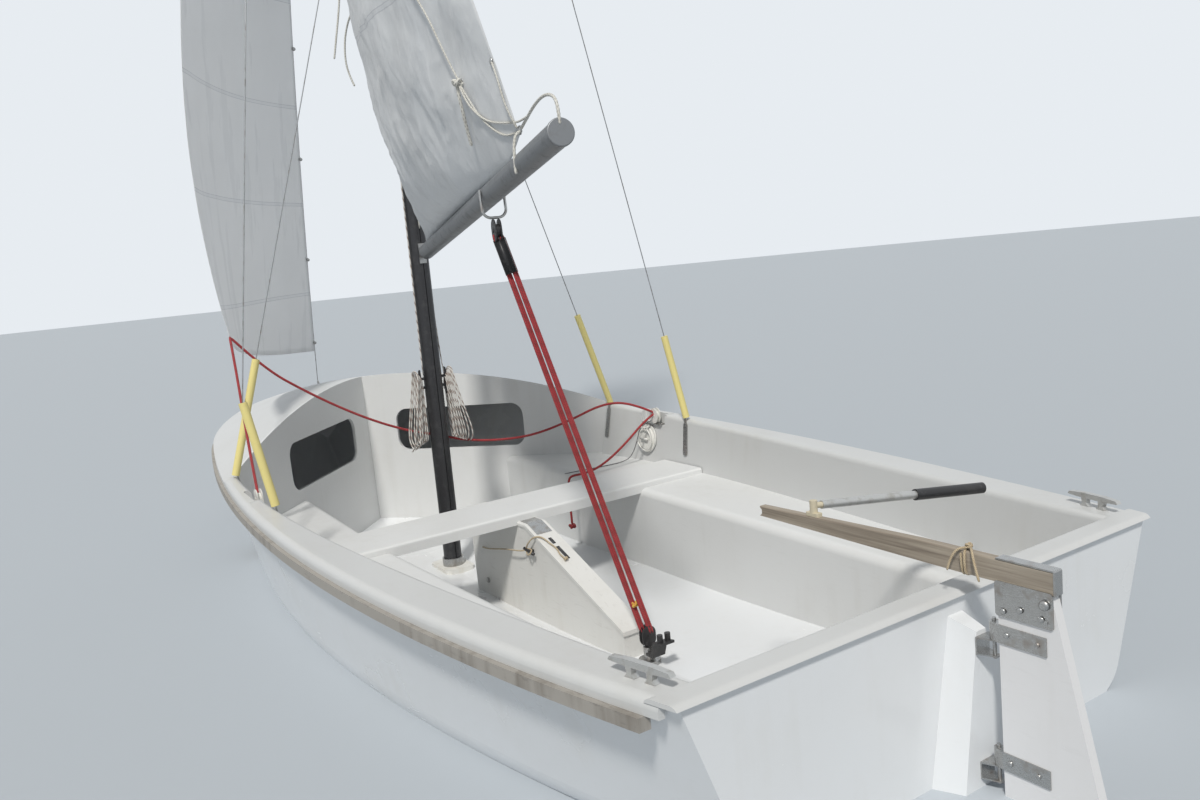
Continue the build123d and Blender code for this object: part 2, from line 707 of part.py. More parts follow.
with BuildPart() as mast_step:
    with BuildSketch(Plane.XY.offset(-200)):
        with Locations((MAST_FOOT_X + 10, 0)):
            RectangleRounded(190, 130, 22)
    extrude(amount=200 + MAST_FOOT_Z - 1)
    add(hull_space.part, mode=Mode.INTERSECT)
write_piece(mast_step, "mast_step")

with BuildPart() as mast_collar:
    with BuildSketch(Plane.XY.offset(MAST_FOOT_Z - 1)):
        with Locations((MAST_FOOT_X, 0)):
            Circle(MAST_RADIUS + 7)
            Circle(MAST_RADIUS + 1, mode=Mode.SUBTRACT)
    extrude(amount=34)
write_piece(mast_collar, "mast_collar")

with BuildPart() as mast_cap:
    with BuildSketch(mast_plane.offset(MAST_LENGTH)):
        Circle(MAST_RADIUS + 2)
        with Locations((0, MAST_RADIUS)):
            Rectangle(18, 60)
    extrude(amount=14)
write_piece(mast_cap, "mast_cap")

# Tangs that the stays fasten to: a sleeve round the mast with an ear on each side.
with BuildPart() as mast_tangs:
    for height in (HOUNDS_Z, LOWER_HOUNDS_Z):
        sleeve_plane = mast_plane.offset((height - 20 - MAST_FOOT_Z) / cos(mast_angle))
        with BuildSketch(sleeve_plane):
            Circle(MAST_RADIUS + 3)
            Rectangle(2 * MAST_RADIUS + 22, 14)
            if height == HOUNDS_Z:
                with Locations((0, -MAST_RADIUS)):
                    Rectangle(14, 22)
            Circle(MAST_RADIUS + 0.3, mode=Mode.SUBTRACT)
            with Locations((0, MAST_RADIUS)):
                Rectangle(14, 20, mode=Mode.SUBTRACT)
        extrude(amount=40)
write_piece(mast_tangs, "mast_tangs")


def wire_plane(start, end):
    """Plane at the start of a straight wire, facing along it."""
    return Plane(origin=start, z_dir=end - start)


# Forestay and stem fitting.
FORESTAY_X = 2080
FORESTAY_SAG = 70
PAINTER_HOLE_RADIUS = 5
stem_top = Vector(FORESTAY_X, 0, CROWN_STATIONS[-1][1] + 52)
forestay_top = mast_point(HOUNDS_Z - 21.2, aft=-MAST_RADIUS - 9)


def forestay_point(z):
    """Point of the forestay at a height, with its sag to port."""
    share = (z - stem_top.Z) / (forestay_top.Z - stem_top.Z)
    straight = stem_top + (forestay_top - stem_top) * share
    return straight + Vector(0, 4 * FORESTAY_SAG * share * (1 - share), 0)


with BuildPart() as stem_fitting:
    with BuildSketch(Plane.XY.offset(500)):
        with Locations((FORESTAY_X - 50, 0)):
            RectangleRounded(150, 30, 8)
    extrude(amount=80)
    add(crown_body(-4), mode=Mode.INTERSECT)
    add(crown_body(0), mode=Mode.SUBTRACT)
    with BuildSketch(Plane.XZ):
        with Locations((FORESTAY_X - 6, stem_top.Z - 24.5)):
            RectangleRounded(30, 46, 10)
            with Locations((0, 8)):
                Circle(PAINTER_HOLE_RADIUS, mode=Mode.SUBTRACT)
    extrude(amount=2, both=True)
    add(crown_body(0), mode=Mode.SUBTRACT)
write_piece(stem_fitting, "stem_fitting")

with BuildPart() as forestay:
    with BuildLine() as stay_line:
        ThreePointArc(stem_top, forestay_point((stem_top.Z + forestay_top.Z) / 2), forestay_top)
    with BuildSketch(Plane(origin=stem_top, z_dir=stay_line.line % 0)):
        Circle(WIRE_RADIUS)
    sweep(path=stay_line.line)
write_piece(forestay, "forestay")

# Shrouds, chainplates on the seat backs, and the plastic tubes over the wires' feet.
# x of the chainplate, height where the wire meets the mast, tube length, and how far
# the slack wire on the port side leans out at the tube's top
SHROUDS = [(352, LOWER_HOUNDS_Z, 430, 0), (-214, HOUNDS_Z, 340, 97)]
STRAP_WIDTH = 25
STRAP_THICK = 3
STRAP_LENGTH = 135
TAB_WIDTH = 12
TAB_RISE = 35
TAB_SINK = 10
WIRE_SEAT = 0.8
TUBE_WALL = 2
TUBE_CAP = 6
TUBE_DROP = 12
BACK_GAP = 1.5


def shroud_points(shroud, hand):
    """Foot of a shroud on its chainplate, its bend at the tube's top and its upper end."""
    x, height, tube_length, lean = shroud
    head, down, face_out = seat_back_lines(x, hand)
    foot = head - down * (TAB_RISE + WIRE_SEAT) + face_out * (BACK_GAP + STRAP_THICK / 2)
    top = mast_point(height - 20.8, out=hand * (MAST_RADIUS + 9))
    slack = lean if hand > 0 else 0
    bend = foot + (top - foot).normalized() * tube_length + Vector(0, slack, 0)
    return foot, bend, top


for hand, name in ((1, "port"), (-1, "starboard")):
    with BuildPart() as chainplates:
        for shroud in SHROUDS:
            head, down, face_out = seat_back_lines(shroud[0], hand)
            strap_plane = Plane(
                origin=head + down * (STRAP_LENGTH / 2) + face_out * BACK_GAP,
                x_dir=(1, 0, 0),
                z_dir=face_out,
            )
            upward = 1 if strap_plane.y_dir.Z > 0 else -1
            with BuildSketch(strap_plane):
                RectangleRounded(STRAP_WIDTH, STRAP_LENGTH, 8)
                with Locations((0, upward * (STRAP_LENGTH + TAB_RISE - TAB_SINK) / 2)):
                    Rectangle(TAB_WIDTH, TAB_RISE + TAB_SINK)
            extrude(amount=STRAP_THICK)
    write_piece(chainplates, f"chainplates_{name}")
    with BuildPart() as shrouds:
        for shroud in SHROUDS:
            foot, bend, top = shroud_points(shroud, hand)
            with BuildLine() as wire_line:
                Polyline(foot, bend, top)
            with BuildSketch(wire_plane(foot, bend)):
                Circle(WIRE_RADIUS)
            sweep(path=wire_line.line, transition=Transition.RIGHT)
    write_piece(shrouds, f"shrouds_{name}")
    with BuildPart() as tubes:
        for shroud in SHROUDS:
            foot, bend, _ = shroud_points(shroud, hand)
            tube_reach = (bend - foot).length - WIRE_RADIUS
            with BuildSketch(wire_plane(foot, bend).offset(-TUBE_DROP)):
                Circle(TUBE_RADIUS)
                Circle(TUBE_RADIUS - TUBE_WALL, mode=Mode.SUBTRACT)
            extrude(amount=tube_reach + TUBE_DROP - TUBE_CAP)
            with BuildSketch(wire_plane(foot, bend).offset(tube_reach - TUBE_CAP)):
                Circle(TUBE_RADIUS)
                Circle(WIRE_RADIUS + 0.3, mode=Mode.SUBTRACT)
            extrude(amount=TUBE_CAP)
    write_piece(tubes, f"shroud_tubes_{name}")

# Gooseneck: two lugs on the mast and the pin that the boom's toggle turns on.
PIN_RADIUS = 5
LUG_GAP = 28
LUG_THICK = 5
pin_point = mast_point(GOOSENECK_Z, aft=LUFF_OFFSET)
pin_plane = Plane(origin=pin_point, x_dir=(0, 1, 0), z_dir=mast_up)
with BuildPart() as gooseneck:
    for low in (LUG_GAP / 2, -LUG_GAP / 2 - LUG_THICK):
        with BuildSketch(pin_plane.offset(low)):
            Circle(12)
            with Locations((0, (MAST_RADIUS - LUFF_OFFSET) / 2)):
                Rectangle(24, LUFF_OFFSET - MAST_RADIUS)
        extrude(amount=LUG_THICK)
    with BuildSketch(pin_plane.offset(-LUG_GAP / 2 - LUG_THICK - 4)):
        Circle(PIN_RADIUS)
    extrude(amount=LUG_GAP + 2 * LUG_THICK + 8)
    with BuildSketch(pin_plane.offset(-40)):
        with Locations((0, MAST_RADIUS - LUFF_OFFSET + 1.5)):
            Rectangle(30, 3)
    extrude(amount=80)
    add(mast.part, mode=Mode.SUBTRACT)
write_piece(gooseneck, "gooseneck")

# Boom, held up a little and swung to port.
swing = radians(BOOM_SWING)
lift = radians(BOOM_LIFT)
boom_along = Vector(-cos(lift) * cos(swing), cos(lift) * sin(swing), sin(lift))
boom_side = Vector(sin(swing), cos(swing), 0)
boom_up = boom_side.cross(boom_along) * -1
if boom_up.Z < 0:
    boom_up = boom_up * -1
BOOM_START = 48
BOOM_WALL = 3


def boom_plane(distance):
    """Plane across the boom at a distance from the gooseneck pin, x to port."""
    return Plane(origin=pin_point + boom_along * distance, x_dir=boom_side, z_dir=boom_along)


with BuildPart() as boom:
    with BuildSketch(boom_plane(BOOM_START)):
        Circle(BOOM_RADIUS)
        Circle(BOOM_RADIUS - BOOM_WALL, mode=Mode.SUBTRACT)
    extrude(amount=BOOM_LENGTH - BOOM_START)
write_piece(boom, "boom")

with BuildPart() as boom_toggle:
    with BuildSketch(boom_plane(BOOM_START + 20)):
        Circle(BOOM_RADIUS - BOOM_WALL)
    extrude(amount=-30)
    with BuildSketch(boom_plane(BOOM_START - 9)):
        Rectangle(12, 22)
    extrude(amount=-BOOM_START + 12)
    with BuildSketch(pin_plane.offset(-LUG_GAP / 2 + 1)):
        Circle(11)
    extrude(amount=LUG_GAP - 2)
    with BuildSketch(pin_plane.offset(-LUG_GAP / 2 - 10)):
        Circle(PIN_RADIUS + 0.3)
    extrude(amount=LUG_GAP + 20, mode=Mode.SUBTRACT)
write_piece(boom_toggle, "boom_toggle")

with BuildPart() as boom_end_cap:
    with BuildSketch(boom_plane(BOOM_LENGTH - 24)):
        Circle(BOOM_RADIUS - BOOM_WALL)
    extrude(amount=24)
    with BuildSketch(boom_plane(BOOM_LENGTH)):
        Circle(BOOM_RADIUS + 1.5)
    extrude(amount=9)
    fillet(boom_end_cap.faces().sort_by(Axis(pin_point, boom_along))[-1].edges(), 3)
write_piece(boom_end_cap, "boom_end_cap")

# Bail for the mainsheet, a bent rod below the boom.
ROD_RADIUS = 4
with BuildPart() as boom_bail:
    bail_plane = Plane(
        origin=pin_point + boom_along * BAIL_AT, x_dir=boom_side, z_dir=boom_along * -1
    )
    with BuildLine(bail_plane) as bail_line:
        FilletPolyline(
            (BOOM_RADIUS + ROD_RADIUS, 12),
            (BOOM_RADIUS + ROD_RADIUS, -BOOM_RADIUS - 38),
            (-BOOM_RADIUS - ROD_RADIUS, -BOOM_RADIUS - 38),
            (-BOOM_RADIUS - ROD_RADIUS, 12),
            radius=24,
        )
    with BuildSketch(Plane(origin=bail_line.line @ 0, z_dir=bail_line.line % 0)):
        Circle(ROD_RADIUS)
    sweep(path=bail_line.line)
write_piece(boom_bail, "boom_bail")

# Mainsheet blocks: one below the boom, one on a swivel base behind the case.
BLOCK_RADIUS = 24
CHEEK_THICK = 4
BLOCK_HALF_HEIGHT = BLOCK_RADIUS + 9
SHEAVE_WIDTH = 12


def block_solid(plane):
    """Sheave block with two rounded cheeks, its axle along the plane's x."""
    with BuildPart() as block:
        for side in (-SHEAVE_WIDTH / 2 - CHEEK_THICK, SHEAVE_WIDTH / 2):
            with BuildSketch(plane * Plane.YZ.offset(side)):
                SlotCenterToCenter(18, 2 * BLOCK_RADIUS, rotation=90)
            extrude(amount=CHEEK_THICK)
        with BuildSketch(plane * Plane.YZ.offset(-SHEAVE_WIDTH / 2)):
            Circle(BLOCK_RADIUS - 5)
        extrude(amount=SHEAVE_WIDTH)
        with BuildSketch(plane * Plane.YZ.offset(-SHEAVE_WIDTH / 2 - CHEEK_THICK - 2)):
            Circle(5)
        extrude(amount=SHEAVE_WIDTH + 2 * CHEEK_THICK + 4)
    return block.part


bail_foot = pin_point + boom_along * BAIL_AT
upper_block_plane = Plane(
    origin=bail_foot + boom_up * (-BOOM_RADIUS - 38 - 4 - BLOCK_HALF_HEIGHT - 0.4),
    x_dir=boom_side,
    z_dir=boom_up,
)
with BuildPart() as mainsheet_upper_block:
    add(block_solid(upper_block_plane))
write_piece(mainsheet_upper_block, "mainsheet_upper_block")

SHEET_BASE_X = -1052
FLOOR_Z = -117
LOWER_BLOCK_Z = -30
with BuildPart() as mainsheet_base:
    with BuildSketch(Plane.XY.offset(-200)):
        with Locations((SHEET_BASE_X, 0)):
            Circle(34)
    extrude(amount=200 + FLOOR_Z + 14)
    add(hull_space.part, mode=Mode.INTERSECT)
    with BuildSketch(Plane.XY.offset(FLOOR_Z + 10)):
        with Locations((SHEET_BASE_X, 0)):
            Circle(17)
    extrude(amount=LOWER_BLOCK_Z - BLOCK_HALF_HEIGHT - 0.4 - FLOOR_Z - 10)
write_piece(mainsheet_base, "mainsheet_base")

with BuildPart() as mainsheet_lower_block:
    add(block_solid(Plane(origin=(SHEET_BASE_X, 0, LOWER_BLOCK_Z))))
write_piece(mainsheet_lower_block, "mainsheet_lower_block")

# Cam cleat on an arm that reaches aft from the swivel base.
ARM_REACH = 105
with BuildPart() as cam_cleat:
    arm_z = LOWER_BLOCK_Z - BLOCK_RADIUS - 20
    with BuildSketch(Plane.XZ):
        Polygon(
            (SHEET_BASE_X - 17.3, arm_z - 8),
            (SHEET_BASE_X - 17.3, arm_z),
            (SHEET_BASE_X - 40, arm_z),
            (SHEET_BASE_X - ARM_REACH + 44, arm_z + 46),
            (SHEET_BASE_X - ARM_REACH, arm_z + 54),
            (SHEET_BASE_X - ARM_REACH, arm_z + 46),
            (SHEET_BASE_X - 67, arm_z + 38),
            (SHEET_BASE_X - 50, arm_z - 8),
            align=None,
        )
    extrude(amount=24, both=True)
    with BuildSketch(Plane.XY.offset(arm_z + 48)):
        with Locations((SHEET_BASE_X - ARM_REACH + 20, 14), (SHEET_BASE_X - ARM_REACH + 20, -14)):
            Circle(9)
    extrude(amount=26)
write_piece(cam_cleat, "cam_cleat")

# Mainsail, flat above the boom; its luff is parallel to the mast.
SAIL_THICK = 6
LUFF_GAP = 14
FOOT_GAP = 0.5
HEAD_Z = 5920
HEAD_WIDTH = 95
ROACH = 120
CLEW_AT = 1590
CLEW_RISE = 45
sail_aft = boom_side.cross(mast_up).normalized()
if sail_aft.X > 0:
    sail_aft = sail_aft * -1
sail_plane = Plane(origin=pin_point, x_dir=sail_aft, z_dir=sail_aft.cross(mast_up))
boom_rise = asin(boom_along.dot(mast_up))
head_rise = (HEAD_Z - GOOSENECK_Z) / cos(mast_angle)


def above_boom(distance, gap):
    """Point in the sail's plane, a gap above the boom at a distance along it."""
    gap_in = BOOM_RADIUS + gap
    return (
        distance * cos(boom_rise) - gap_in * sin(boom_rise),
        distance * sin(boom_rise) + gap_in * cos(boom_rise),
    )


with BuildPart() as mainsail:
    tack = above_boom(LUFF_GAP + 60, FOOT_GAP)
    clew = above_boom(CLEW_AT, CLEW_RISE)
    leech_middle = ((clew[0] + HEAD_WIDTH) / 2 + ROACH, (clew[1] + head_rise) / 2)
    with BuildSketch(sail_plane):
        with BuildLine():
            Polyline(
                (LUFF_GAP + HEAD_WIDTH, head_rise),
                (LUFF_GAP, head_rise),
                (LUFF_GAP, tack[1] + 60),
                tack,
                clew,
            )
            ThreePointArc(clew, leech_middle, (LUFF_GAP + HEAD_WIDTH, head_rise))
        make_face()
    extrude(amount=SAIL_THICK / 2, both=True)
write_piece(mainsail, "mainsail")

# Jib, set on the forestay and drawn over to port.
# z, leech point's x and y, camber as a share of the chord
JIB_STATIONS = [
    (700, 492, 760, 0.05),
    (2250, 730, 700, 0.09),
    (3700, 640, 372, 0.10),
    (5120, 425, 12, 0.05),
]
JIB_THICK = 5
JIB_CLEW = (530, 950)
JIB_TACK = (2060, 750)
with BuildPart() as jib:
    for z, leech_x, leech_y, camber in JIB_STATIONS:
        stay = forestay_point(z)
        luff = Vector(stay.X - 6, stay.Y + 1)
        leech = Vector(leech_x, leech_y)
        chord = leech - luff
        outward = Vector(chord.Y, -chord.X).normalized()
        if outward.Y < 0:
            outward = outward * -1
        belly = luff + chord * 0.45 + outward * (camber * chord.length)
        skin = outward * JIB_THICK
        with BuildSketch(Plane.XY.offset(z)):
            with BuildLine():
                ThreePointArc(luff, belly, leech)
                Line(leech, leech + skin)
                ThreePointArc(leech + skin, belly + skin, luff + skin)
                Line(luff + skin, luff)
            make_face()
    loft(ruled=True)
    with BuildSketch(Plane.XZ):
        Polygon(
            (JIB_CLEW[0] - 400, 600),
            (JIB_CLEW[0] - 400, JIB_CLEW[1]),
            JIB_CLEW,
            JIB_TACK,
            (JIB_TACK[0] + 200, JIB_TACK[1]),
            (JIB_TACK[0] + 200, 600),
            align=None,
        )
    extrude(amount=1500, both=True, mode=Mode.SUBTRACT)
write_piece(jib, "jib")

# Jib sheet blocks on plates in the notches of the side decks.
with BuildPart() as fairlead_plates:
    for hand in (1, -1):
        with BuildSketch(Plane.XY.offset(NOTCH_FLOOR_Z)):
            with Locations((NOTCH_X, hand * (NOTCH_Y + 8))):
                RectangleRounded(140, 32, 6)
        extrude(amount=4)
write_piece(fairlead_plates, "fairlead_plates")

for hand, name in ((1, "port"), (-1, "starboard")):
    with BuildPart() as jib_block:
        lead_plane = Plane(
            origin=(NOTCH_X - 20, hand * (NOTCH_Y + 8), NOTCH_FLOOR_Z + 4.3 + BLOCK_HALF_HEIGHT),
            x_dir=(0, 1, 0),
            z_dir=(0, 0, 1),
        )
        add(block_solid(lead_plane))
    write_piece(jib_block, f"jib_block_{name}")

# Round inspection hatch on the starboard seat back.
HATCH_X = 55
HATCH_Z = 312
HATCH_RADIUS = 62
with BuildPart() as inspection_hatch:
    head, down, face_out = seat_back_lines(HATCH_X, -1)
    hatch_centre = head + down * ((head.Z - HATCH_Z) / -down.Z) + face_out * 1.6
    hatch_plane = Plane(origin=hatch_centre, x_dir=(1, 0, 0), z_dir=face_out)
    with BuildSketch(hatch_plane):
        Circle(HATCH_RADIUS)
    extrude(amount=6)
    with BuildSketch(hatch_plane.offset(6)):
        Circle(HATCH_RADIUS - 12)
    extrude(amount=7)
    fillet(inspection_hatch.edges().filter_by(GeomType.CIRCLE).sort_by(Axis.Y)[-1], 3)
write_piece(inspection_hatch, "inspection_hatch")


def horn_cleat(plane, length):
    """Horn cleat on two legs standing on a plane, its horns along the plane's x."""
    scale = length / 150
    horn = [(75, 23), (70, 30), (30, 33)]
    under = [(70, 22), (33, 20), (30, 7), (36, 0), (12, 0), (18, 7), (18, 20)]
    right = [(x * scale, z * scale) for x, z in horn]
    left = [(-x, z) for x, z in reversed(right)]
    low_left = [(-x * scale, z * scale) for x, z in under]
    low_right = [(x * scale, z * scale) for x, z in reversed(under)]
    with BuildPart() as cleat:
        with BuildSketch(plane * Plane.XZ):
            Polygon(*right, *left, *low_left, *low_right, align=None)
        extrude(amount=7 * scale, both=True)
    return cleat.part


QUARTER_X = -2064
QUARTER_Y = 686
QUARTER_TURN = 12.4
with BuildPart() as quarter_cleats:
    for hand in (1, -1):
        quarter_plane = Plane(
            origin=(QUARTER_X, hand * QUARTER_Y, sheer(QUARTER_X) + 0.5),
            x_dir=(cos(radians(QUARTER_TURN)), hand * sin(radians(QUARTER_TURN)), 0),
            z_dir=(0, 0, 1),
        )
        add(horn_cleat(quarter_plane, 150))
write_piece(quarter_cleats, "quarter_cleats")

HALYARD_CLEAT_Z = 670
with BuildPart() as halyard_cleats:
    for hand in (1, -1):
        cleat_plane = Plane(
            origin=mast_point(HALYARD_CLEAT_Z, out=hand * (MAST_RADIUS - 1.5)), x_dir=mast_up, z_dir=(0, hand, 0)
        )
        add(horn_cleat(cleat_plane, 115))
    add(mast.part, mode=Mode.SUBTRACT)
write_piece(halyard_cleats, "halyard_cleats")

# Rudder hangings: the transom's fittings with their pins, and the straps on the blade
# that hang on top of them.
PAD_FACE_X = TRANSOM_X - PAD_THICK
HANGER_HEIGHT = 36
HANGER_HALF_WIDTH = 20
HANGER_THICK = 3
HANGER_Z = (300, 38)
PINTLE_RADIUS = 4
STRAP_REST = 0.5
REACH = 9
BLADE_STRAP_HEIGHT = 37
BLADE_STRAP_LENGTH = 100
with BuildPart() as transom_hangers:
    for z in HANGER_Z:
        with BuildSketch(Plane.YZ.offset(PAD_FACE_X - 0.3)):
            with Locations((0, z)):
                Rectangle(2 * HANGER_HALF_WIDTH, HANGER_HEIGHT)
        extrude(amount=-HANGER_THICK)
        for low in (z - HANGER_HEIGHT / 2, z + HANGER_HEIGHT / 2 - HANGER_THICK):
            with BuildSketch(Plane.XY.offset(low)):
                with BuildLine():
                    Polyline(
                        (PINTLE_X, REACH),
                        (PAD_FACE_X - HANGER_THICK, HANGER_HALF_WIDTH),
                        (PAD_FACE_X - HANGER_THICK, -HANGER_HALF_WIDTH),
                        (PINTLE_X, -REACH),
                    )
                    ThreePointArc((PINTLE_X, -REACH), (PINTLE_X - REACH, 0), (PINTLE_X, REACH))
                make_face()
            extrude(amount=HANGER_THICK)
        with BuildSketch(Plane.XY.offset(z - HANGER_HEIGHT / 2 - 4)):
            with Locations((PINTLE_X, 0)):
                Circle(PINTLE_RADIUS)
        extrude(amount=HANGER_HEIGHT + BLADE_STRAP_HEIGHT + STRAP_REST + 10)
write_piece(transom_hangers, "transom_hangers")

with BuildPart() as rudder_straps:
    for z in HANGER_Z:
        with BuildSketch(Plane.XY.offset(z + HANGER_HEIGHT / 2 + STRAP_REST)):
            with BuildLine():
                strap_end_x = BLADE_LEAD_X - BLADE_STRAP_LENGTH
                strap_half = BLADE_THICK / 2 + 3
                Polyline(
                    (PINTLE_X, REACH),
                    (BLADE_LEAD_X + 1, strap_half),
                    (strap_end_x, strap_half),
                    (strap_end_x, -strap_half),
                    (BLADE_LEAD_X + 1, -strap_half),
                    (PINTLE_X, -REACH),
                )
                ThreePointArc((PINTLE_X, -REACH), (PINTLE_X + REACH, 0), (PINTLE_X, REACH))
            make_face()
            with Locations((BLADE_LEAD_X + 0.5, 0)):
                Rectangle(
                    BLADE_STRAP_LENGTH + 10,
                    BLADE_THICK + 0.6,
                    align=(Align.MAX, Align.CENTER),
                    mode=Mode.SUBTRACT,
                )
            with Locations((PINTLE_X, 0)):
                Circle(PINTLE_RADIUS + 0.4, mode=Mode.SUBTRACT)
        extrude(amount=BLADE_STRAP_HEIGHT)
write_piece(rudder_straps, "rudder_straps")

BLADE_TOP_Z = 436
BLADE_TIP_Z = -620
with BuildPart() as rudder_blade:
    with BuildSketch(Plane.XZ):
        with BuildLine():
            Polyline(
                (BLADE_LEAD_X, BLADE_TIP_Z + 110),
                (BLADE_LEAD_X, BLADE_TOP_Z),
                (BLADE_LEAD_X - 112, BLADE_TOP_Z),
                (BLADE_LEAD_X - 210, 0),
                (BLADE_LEAD_X - 256, -380),
                (BLADE_LEAD_X - 246, BLADE_TIP_Z + 90),
            )
            ThreePointArc(
                (BLADE_LEAD_X - 246, BLADE_TIP_Z + 90),
                (BLADE_LEAD_X - 130, BLADE_TIP_Z),
                (BLADE_LEAD_X, BLADE_TIP_Z + 110),
            )
        make_face()
    extrude(amount=BLADE_THICK / 2, both=True)
write_piece(rudder_blade, "rudder_blade")

CHEEK_X = (-2403.5, -2284)
CHEEK_Z = (374, 444)
CHEEK_RIVET_IN = 14
with BuildPart() as rudder_cheeks:
    for hand in (1, -1):
        with BuildSketch(Plane.XZ.offset(-hand * (BLADE_THICK / 2 + 0.3))):
            with Locations(((CHEEK_X[0] + CHEEK_X[1]) / 2, (CHEEK_Z[0] + CHEEK_Z[1]) / 2)):
                RectangleRounded(CHEEK_X[1] - CHEEK_X[0], CHEEK_Z[1] - CHEEK_Z[0], 6)
        extrude(amount=-hand * 3)
        with BuildSketch(Plane.XZ.offset(-hand * (BLADE_THICK / 2 + 3))):
            for x in (CHEEK_X[0] + CHEEK_RIVET_IN, CHEEK_X[1] - CHEEK_RIVET_IN):
                with Locations((x, CHEEK_Z[0] + CHEEK_RIVET_IN)):
                    Circle(4)
        extrude(amount=-hand * 2.3)
write_piece(rudder_cheeks, "rudder_cheeks")

# Wooden tiller between the cheeks.
TILLER_TIP_X = -1631
TILLER_END_X = -2404
TILLER_WIDTH = 22
with BuildPart() as tiller:
    with BuildSketch(Plane.XZ):
        Polygon(
            (TILLER_END_X, TILLER_Z - 24),
            (TILLER_END_X, TILLER_Z + 20),
            (-2100, TILLER_Z + 22),
            (TILLER_TIP_X + 8, TILLER_Z + 12),
            (TILLER_TIP_X, TILLER_Z + 4),
            (TILLER_TIP_X, TILLER_Z - 6),
            (TILLER_TIP_X + 8, TILLER_Z - 12),
            (-2200, TILLER_Z - 24),
            align=None,
        )
    extrude(amount=TILLER_WIDTH / 2, both=True)
    fillet(tiller.faces().sort_by(Axis.Z)[-2:].edges().filter_by(Axis.Y, reverse=True), 3)
write_piece(tiller, "tiller")

# Strip bent over the tiller's after end.
STRIP_FORE_X = -2288
STRIP_THICK = 3
STRIP_WIDTH = 24
with BuildPart() as tiller_strap:
    strip_fore_z = TILLER_Z + 20 + 2 * (STRIP_FORE_X - TILLER_END_X) / (-2100 - TILLER_END_X)
    with BuildSketch(Plane.XZ):
        with BuildLine() as strip_line:
            FilletPolyline(
                (STRIP_FORE_X, strip_fore_z + 0.3 + STRIP_THICK / 2),
                (TILLER_END_X - 0.3 - STRIP_THICK / 2, TILLER_Z + 20.3 + STRIP_THICK / 2),
                (TILLER_END_X - 0.3 - STRIP_THICK / 2, TILLER_Z - 24),
                radius=2.5,
            )
            offset(amount=STRIP_THICK / 2, kind=Kind.INTERSECTION)
        make_face()
    extrude(amount=STRIP_WIDTH / 2, both=True)
write_piece(tiller_strap, "tiller_strap")

# Tiller extension, hinged on the tiller and lying across to starboard.
EXTENSION_X = -1800
EXTENSION_Z = 505
EXTENSION_END = Vector(-1874, -503, 450)
EXTENSION_RADIUS = 10
GRIP_RADIUS = 14
GRIP_LENGTH = 210
JOINT_RADIUS = 9
extension_start = Vector(EXTENSION_X, 0, EXTENSION_Z)
extension_line = EXTENSION_END - extension_start
extension_plane = Plane(origin=extension_start, x_dir=(0, 0, 1), z_dir=extension_line)
with BuildPart() as extension_joint:
    with BuildSketch(Plane.XY.offset(TILLER_Z + 16.3)):
        with Locations((EXTENSION_X, 0)):
            RectangleRounded(40, 18, 5)
    extrude(amount=8)
    with BuildSketch(Plane.XY.offset(TILLER_Z + 22)):
        with Locations((EXTENSION_X, 0)):
            Circle(JOINT_RADIUS)
    extrude(amount=EXTENSION_Z + JOINT_RADIUS + 3 - TILLER_Z - 22)
    with BuildSketch(extension_plane):
        Circle(JOINT_RADIUS - 2)
    extrude(amount=40)
write_piece(extension_joint, "extension_joint")

with BuildPart() as tiller_extension:
    with BuildSketch(extension_plane.offset(22)):
        Circle(EXTENSION_RADIUS)
        Circle(JOINT_RADIUS - 1.7, mode=Mode.SUBTRACT)
    extrude(amount=24)
    with BuildSketch(extension_plane.offset(46)):
        Circle(EXTENSION_RADIUS)
    extrude(amount=extension_line.length - 46)
write_piece(tiller_extension, "tiller_extension")

with BuildPart() as extension_grip:
    with BuildSketch(extension_plane.offset(extension_line.length - GRIP_LENGTH)):
        Circle(GRIP_RADIUS)
    extrude(amount=GRIP_LENGTH + 8)
    with BuildSketch(extension_plane):
        Circle(EXTENSION_RADIUS + 0.3)
    extrude(amount=extension_line.length + 0.3, mode=Mode.SUBTRACT)
write_piece(extension_grip, "extension_grip")
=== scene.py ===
import math
from functools import partial

import bmesh
import bpy
import numpy as np
from mathutils import Matrix, Vector, geometry, noise


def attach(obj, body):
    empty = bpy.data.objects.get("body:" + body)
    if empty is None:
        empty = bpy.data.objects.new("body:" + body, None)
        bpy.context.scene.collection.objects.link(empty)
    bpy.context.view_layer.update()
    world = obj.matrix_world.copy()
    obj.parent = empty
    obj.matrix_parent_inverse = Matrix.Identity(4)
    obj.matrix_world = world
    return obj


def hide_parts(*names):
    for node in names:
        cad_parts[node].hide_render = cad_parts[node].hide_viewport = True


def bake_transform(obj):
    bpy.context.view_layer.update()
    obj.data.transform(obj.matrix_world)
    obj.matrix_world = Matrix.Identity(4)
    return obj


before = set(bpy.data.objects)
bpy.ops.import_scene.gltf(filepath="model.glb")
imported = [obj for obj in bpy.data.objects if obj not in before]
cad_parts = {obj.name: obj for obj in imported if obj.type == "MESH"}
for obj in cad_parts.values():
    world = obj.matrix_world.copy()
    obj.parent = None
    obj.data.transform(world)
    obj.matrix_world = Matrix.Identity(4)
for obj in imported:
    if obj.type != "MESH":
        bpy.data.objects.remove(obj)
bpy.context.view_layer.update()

# Camera
# The view is from a little above the port quarter, rolled slightly, with a wide lens.
# The lens is the one that fits the whole 1200 by 800 frame.
LENS = 29.19
CAMERA_PLACE = (-3.4110, 1.5513, 1.1253)
camera_data = bpy.data.cameras.new("camera")
camera_data.sensor_fit = "HORIZONTAL"
camera_data.sensor_width = 36.0
camera_data.lens = LENS
camera_data.clip_end = 200.0
camera = bpy.data.objects.new("camera", camera_data)
